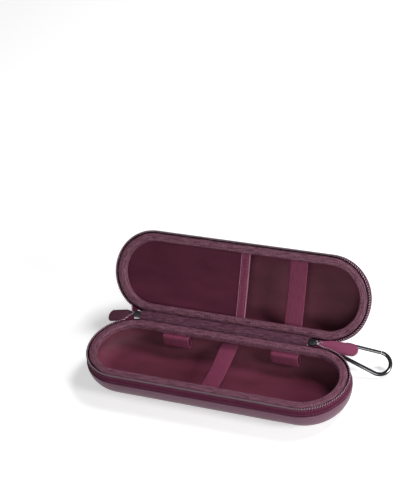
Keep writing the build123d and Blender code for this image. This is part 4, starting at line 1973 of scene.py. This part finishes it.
# ---- sliders and pulls -------------------------------------------------------------------------
def block(
    place: Placement, middle: Size, size: Size, corner: float, edge: float
) -> bpy.types.Object:
    """A cast plate: rounded corners in the x-z plane and soft edges through its y thickness.

    Args:
        place: Its frame.
        middle: Its middle in the frame.
        size: Its sizes along x, y and z.
        corner: Corner radius.
        edge: Edge radius.

    Returns:
        The new object.
    """
    lx, ly, lz = size
    nearly = edge * 0.3
    sections = []
    for y, inset in (
        (-ly / 2, edge), (-ly / 2 + nearly, nearly), (-ly / 2 + edge, 0.0),
        (ly / 2 - edge, 0.0), (ly / 2 - nearly, nearly), (ly / 2, edge),
    ):
        shape = rounded_box(lx - 2 * inset, lz - 2 * inset, max(0.05, corner - inset), 5)
        sections.append([
            place.at(middle[0] + a, middle[1] + y, middle[2] + b) for a, b in shape
        ])
    return loft("block", sections, capped=True)


@dataclass
class ZipPull:
    """A slider parked at one end of the hinge, with its link and its tab."""

    side: Side
    swing: float
    coil_out: float = 0.35
    coil_width: float = 1.5
    gap: float = 0.3
    plate: Size = (8.4, 1.1, 5.6)
    inner_plate: Size = (7.2, 0.7, 5.4)
    post: tuple[float, float] = (3.6, 1.0)
    rail: Size = (6.0, 0.9, 0.55)
    crown: Size = (6.0, 2.5, 1.6)
    crown_wall: float = 1.1
    crown_bend: float = 0.9
    crown_root: float = 0.3
    pivot_x: float = 1.4
    link_length: float = 11.0
    link_width: float = 4.2
    bar: float = 1.0
    tab_length: float = 30.0
    tab_width: float = 11.0
    tab_thick: float = 1.6
    tab_play: float = 0.6
    neck: float = 7.6
    neck_fade: float = 10.0
    wrap: float = 5.5
    border_row: float = 1.15
    deepest_inset: float = 1.5

    def build_slider(self) -> float:
        """Builds the slider's casting.

        Returns:
            How far out the pull's pivot lies.
        """
        park, name = self.side.park, f"{self.side.value}_slider"
        inner = self.coil_out - self.coil_width - self.gap
        outer = self.coil_out + self.gap
        face = outer + self.plate[1]
        post = (self.post[0], outer - inner + 0.2, self.post[1])
        parts = [
            block(park, (0, outer + self.plate[1] / 2, 0), self.plate, 2.0, 0.35),
            block(park, (0, inner - self.inner_plate[1] / 2, 0), self.inner_plate, 1.8, 0.25),
            block(park, (0, (inner + outer) / 2, 0), post, 0.45, 0.05),
        ]
        length, rise, height = self.crown
        reach, top = (length - self.crown_wall) / 2, rise - self.crown_wall / 2
        bend, root = self.crown_bend, -self.crown_root
        arch = [(-reach, root), (-reach, top - bend)]
        arch += arc(bend - reach, top - bend, bend, 180, 90, 5)
        arch += arc(reach - bend, top - bend, bend, 90, 0, 5) + [(reach, root)]
        section = rounded_box(height, self.crown_wall, 0.35, 3)
        path = [park.at(a, face + b) for a, b in arch]
        parts.append(swept("crown", path, section, park.z_dir, steady=False))
        for edge in (-1.0, 1.0):
            spot = (0, outer - 0.15, edge * (self.plate[2] / 2 - 0.35))
            parts.append(block(park, spot, self.rail, 0.25, 0.1))
        casting = joined(f"{name}_casting", parts)
        dress(casting, Finishes.nickel, "slider_metal", name, name)
        return face + (rise - self.crown_wall) / 2

    def build_pull(self, pivot_out: float) -> None:
        """Builds the wire link and the coated tab with its sewn border.

        Args:
            pivot_out: How far out the pull's pivot lies.
        """
        park, sign = self.side.park, self.side.sign
        way = math.radians(self.swing if sign > 0 else 180 - self.swing)
        lead = park.x_dir * math.cos(way) + park.y_dir * math.sin(way)
        place = Placement(park.at(sign * self.pivot_x, pivot_out), lead, park.z_dir)
        body = f"{self.side.value}_pull"
        ring = rounded_box(self.link_length - self.bar, self.link_width - self.bar, 0.9, 5)
        middle = (self.link_length - self.bar) / 2
        link = swept(
            f"{self.side.value}_wire_link", [place.at(middle + a, 0, b) for a, b in ring],
            circle(self.bar / 2, 10), place.y_dir, closed=True, steady=False,
        )
        dress(link, Finishes.nickel, "slider_metal", body, f"{body}_link")
        self.build_tab(place, body)

    def tab_shape(self, inset: float) -> Profile:
        """The tab's outline, drawn in.

        Args:
            inset: The inset.

        Returns:
            Its closed outline.
        """
        end = self.link_length - 1.5 * self.bar - self.tab_play
        root, tip, half = end - self.wrap, end + self.tab_length, self.tab_width / 2
        edge: Profile = []
        for i in range(19):
            x = root + (tip - half - root) * i / 18
            ease = eased(clamped((x - end + 2.0) / self.neck_fade))
            edge.append((x, self.neck / 2 + (half - self.neck / 2) * ease))
        round_end = arc(tip - half, 0, half, 90, -90, 18)[1:-1]
        shape = edge + round_end + [(x, -z) for x, z in reversed(edge)]
        found = []
        for i, (x, z) in enumerate(shape):
            before, after = shape[i - 1], shape[(i + 1) % len(shape)]
            run_x, run_z = after[0] - before[0], after[1] - before[1]
            size = math.hypot(run_x, run_z)
            found.append((x + run_z / size * inset, z - run_x / size * inset))
        return found

    def build_tab(self, place: Placement, body: str) -> None:
        """Two plies of coated cloth over a filler, full in the middle and thin at the border.

        Args:
            place: The pull's frame.
            body: The body that the tab rides on.
        """
        t = self.tab_thick / 2
        ply = ((0.25, 0.0), (0.6, 0.3), (0.74, 0.9), (0.62, 1.6), (0.96, 2.3), (1.0, 2.9))
        levels = [(-t * share, inset) for share, inset in reversed(ply)]
        levels += [(t * share, inset) for share, inset in ply]
        sections = [
            [place.at(x, y, z) for x, z in self.tab_shape(min(inset, self.deepest_inset))]
            for y, inset in levels
        ]
        tab = loft(f"{self.side.value}_coated_tab", sections, capped=True, sharp=70)
        dress(tab, Finishes.tab, "pull_tab", body, f"{body}_tab")
        border = self.tab_shape(self.border_row)[3:-3]
        rows = []
        for sign in (-1.0, 1.0):
            path = [place.at(x, sign * t * 0.7, z) for x, z in border]
            face = place.y_dir * sign
            rows.append(
                StitchRow(length=1.5, gap=0.7, thread=0.15).sew("row", path, lambda _, f=face: f)
            )
        stitches = joined(f"{self.side.value}_tab_stitches", rows)
        dress(stitches, Finishes.thread, "pull_tab", body)

    def build(self) -> None:
        """Builds the slider and its pull."""
        self.build_pull(self.build_slider())


# ---- carabiner ---------------------------------------------------------------------------------
@dataclass
class Carabiner:
    """The snap hook and the webbing loop that holds it."""

    wire: float = 3.4
    narrow: float = 6.0
    lead: Size = (0.940, 0.051, -0.339)
    lying: Size = (-0.106, -0.897, -0.428)
    bow_middle: Size = (CAP_X + 20.35, CAP_RADIUS + 10.35, HALF_DEPTH - 11.25)
    loop_width: float = 3.6
    loop_thick: float = 0.6
    loop_play: float = 0.8
    loop_angle: float = 45.0
    loop_root: float = 6.0
    loop_opening: float = 38.0

    def build(self, nodes: dict[str, bpy.types.Object]) -> None:
        """Finishes the metal and builds the webbing.

        Args:
            nodes: The frame's solids by name.
        """
        for name in ("carabiner_body", "carabiner_gate", "carabiner_gate_pin"):
            refinish(nodes[name], Finishes.chrome)
        refinish(nodes["carabiner_gate_spring"], Finishes.spring)
        self.build_loop()

    def build_loop(self) -> None:
        """Narrow webbing out of the base's tape, folded round the hook's narrow bow."""
        lead = Vector(self.lead).normalized()
        flat = lead.cross(Vector(self.lying)).normalized()
        hook = Placement(Vector(self.bow_middle), lead, flat)
        way = math.radians(self.loop_angle)
        grip = hook.at(-self.narrow * math.cos(way), self.narrow * math.sin(way))
        axis = hook.x_dir * math.sin(way) + hook.y_dir * math.cos(way)
        turn = math.atan2(grip.y, grip.x - CAP_X)
        root_x, root_y = CAP_X + CAP_RADIUS * math.cos(turn), CAP_RADIUS * math.sin(turn)
        away = Vector((root_x, root_y, HALF_DEPTH - self.loop_root)) - grip
        away -= axis * away.dot(axis)
        reach = away.length + 0.3
        plane = Placement(grip, away.normalized(), axis)
        radius = self.wire / 2 + self.loop_play + self.loop_thick / 2
        half = self.loop_thick * 0.52
        ply = [(reach, half), (reach * 0.8, half), (reach * 0.6, half * 1.3)]
        bow = arc(0, 0, radius, self.loop_opening, 360 - self.loop_opening, 26)
        points = [plane.at(a, b) for a, b in ply + bow + [(a, -b) for a, b in reversed(ply)]]
        section = rounded_box(self.loop_width, self.loop_thick, 0.28, 3)
        loop = swept("carabiner_webbing", points, section, axis, steady=False)
        dress(loop, Finishes.elastic, "strap", "base", "carabiner_loop")


# ---- studio ------------------------------------------------------------------------------------
@dataclass
class Studio:
    """Pale floor, soft lamps and the camera."""

    eye: Size = (0.459394, -0.795477, 0.881003)
    right: Size = (0.91339018, 0.37607461, -0.15584051)
    up: Size = (-0.12797976, 0.62868805, 0.76705445)
    back: Size = (0.38644476, -0.68067557, 0.62236743)
    lens: float = 106.22
    floor_glow: float = 0.45
    sky_light: float = 0.13

    def build(self) -> None:
        """Builds the whole studio."""
        self.build_floor()
        self.build_world()
        self.lamp("key_softbox", (0.6, 0.6, 1.25), 0.45, 14.5, glossy=False)
        self.lamp("front_softbox", (0.35, -1.25, 0.48), 0.7, 7.5)
        self.lamp("side_softbox", (1.2, -0.25, 0.55), 0.35, 13.0)
        self.flag("overhead_flag", (-0.35, 0.1, 1.1), (0.35, 0.9))
        self.flag("front_flag", (0.5, -0.9, 0.25), (1.2, 0.22))
        self.flag("hook_flag", (0.112, 0.066, 0.0006), (0.11, 0.075), (0.0, 0.02, 1.0))
        self.build_camera()
        bpy.context.scene.view_settings.view_transform = "Standard"

    def build_floor(self) -> None:
        """A plain floor that looks white and keeps the shadow."""
        mesh = bpy.data.meshes.new("floor")
        work = bmesh.new()
        bmesh.ops.create_grid(work, x_segments=2, y_segments=2, size=6.0)
        work.to_mesh(mesh)
        work.free()
        floor = placed("floor", mesh)
        floor.location.z = -0.0002
        made = bpy.data.materials.new("white_card")
        made.use_nodes = True
        tree = made.node_tree
        shader = tree.nodes["Principled BSDF"]
        shader.inputs["Base Color"].default_value = srgb("#e9e9e9")
        shader.inputs["Roughness"].default_value = 0.9
        shader.inputs["Specular IOR Level"].default_value = 0.1
        shader.inputs["Emission Color"].default_value = (1, 1, 1, 1)
        path = add_node(tree, "ShaderNodeLightPath")
        seen = add_node(
            tree, "ShaderNodeMath", {"operation": "MAXIMUM"},
            {0: path.outputs["Is Camera Ray"], 1: path.outputs["Is Glossy Ray"]},
        )
        lift = add_node(
            tree, "ShaderNodeMath", {"operation": "MULTIPLY"},
            {0: seen.outputs[0], 1: self.floor_glow},
        )
        tree.links.new(lift.outputs[0], shader.inputs["Emission Strength"])
        mesh.materials.append(made)

    def build_world(self) -> None:
        """Even surrounding light, white where the camera looks."""
        world = bpy.data.worlds.new("studio")
        bpy.context.scene.world = world
        world.use_nodes = True
        tree = world.node_tree
        sky = tree.nodes["Background"]
        sky.inputs["Color"].default_value = (1, 1, 1, 1)
        path = add_node(tree, "ShaderNodeLightPath")
        level = add_node(
            tree, "ShaderNodeMapRange", None,
            {"Value": path.outputs["Is Camera Ray"], "To Min": self.sky_light, "To Max": 1.0},
        )
        tree.links.new(level.outputs[0], sky.inputs["Strength"])

    def lamp(
        self, name: str, spot: Size, size: float, power: float, glossy: bool = True
    ) -> None:
        """A square softbox that faces the case.

        Args:
            name: Its name.
            spot: Where it stands, in metres.
            size: Its side.
            power: Its power in watts.
            glossy: Whether it shows in gloss.
        """
        light = bpy.data.lights.new(name, "AREA")
        light.shape = "SQUARE"
        light.size = size
        light.energy = power
        made = placed(name, light)
        made.location = spot
        made.visible_glossy = glossy
        way = Vector((0, 0, 0.03)) - Vector(spot)
        made.rotation_euler = way.to_track_quat("-Z", "Y").to_euler()

    def flag(
        self, name: str, spot: Size, size: tuple[float, float], facing: Size | None = None
    ) -> None:
        """A dark card that shows only in gloss, so that the metal has something to mirror.

        Args:
            name: Its name.
            spot: Where its middle stands, in metres.
            size: Its width and height.
            facing: Which way it faces, or None for the case.
        """
        way = Vector(facing or spot).normalized()
        side = Vector((0, 0, 1)).cross(way).normalized()
        rise = way.cross(side)
        mesh = bpy.data.meshes.new(name)
        verts = [
            tuple(Vector(spot) + side * (a * size[0] / 2) + rise * (b * size[1] / 2))
            for a, b in ((-1, -1), (1, -1), (1, 1), (-1, 1))
        ]
        mesh.from_pydata(verts, [], [(0, 1, 2, 3)])
        card = placed(name, mesh)
        card.visible_camera = False
        card.visible_diffuse = False
        card.visible_shadow = False
        made = bpy.data.materials.new(name)
        made.use_nodes = True
        shader = made.node_tree.nodes["Principled BSDF"]
        shader.inputs["Base Color"].default_value = srgb("#15120f")
        shader.inputs["Roughness"].default_value = 0.9
        mesh.materials.append(made)

    def build_camera(self) -> None:
        """The camera, from its three directions."""
        data = bpy.data.cameras.new("camera")
        data.lens = self.lens
        data.sensor_width = 36.0
        data.sensor_fit = "AUTO"
        camera = placed("camera", data)
        rows = Matrix((self.right, self.up, self.back)).transposed().to_4x4()
        rows.translation = Vector(self.eye)
        camera.matrix_world = rows
        bpy.context.scene.camera = camera


def main() -> None:
    """Builds the case and its studio."""
    logging.basicConfig(level=logging.INFO, format="%(message)s")
    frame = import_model()
    nodes = frame["nodes"]
    CaseHalf(Half.BASE).build()
    CaseHalf(Half.LID, draft=15.0, lining_area=0.0285, scoop=Scoop()).build()
    HingeCloths().build()
    Strap(
        "handle_strap", Half.BASE, "base_strap", x=1.4, skew=0.9, depth=6.0, sag=4.5, width=15.9
    ).build()
    Strap(
        "lid_elastic", Half.LID, "lid_strap", CAP_X - 30.2, skew=0.0, depth=5.6, sag=1.4, width=16.6
    ).build()
    HeadLoop("left_head_loop", "brush_loop_left", x=-CAP_X + 33.25).build()
    HeadLoop("right_head_loop", "brush_loop_right", x=CAP_X - 28.0).build()
    Pocket().build()
    for side, swing in ((Side.LEFT, 38.0), (Side.RIGHT, 1.0)):
        ZipPull(side, swing).build()
        refinish(nodes[f"{side.value}_zip_stop"], Finishes.lacquer)
    Carabiner().build(nodes)
    Studio().build()


if __name__ == "__main__":
    main()
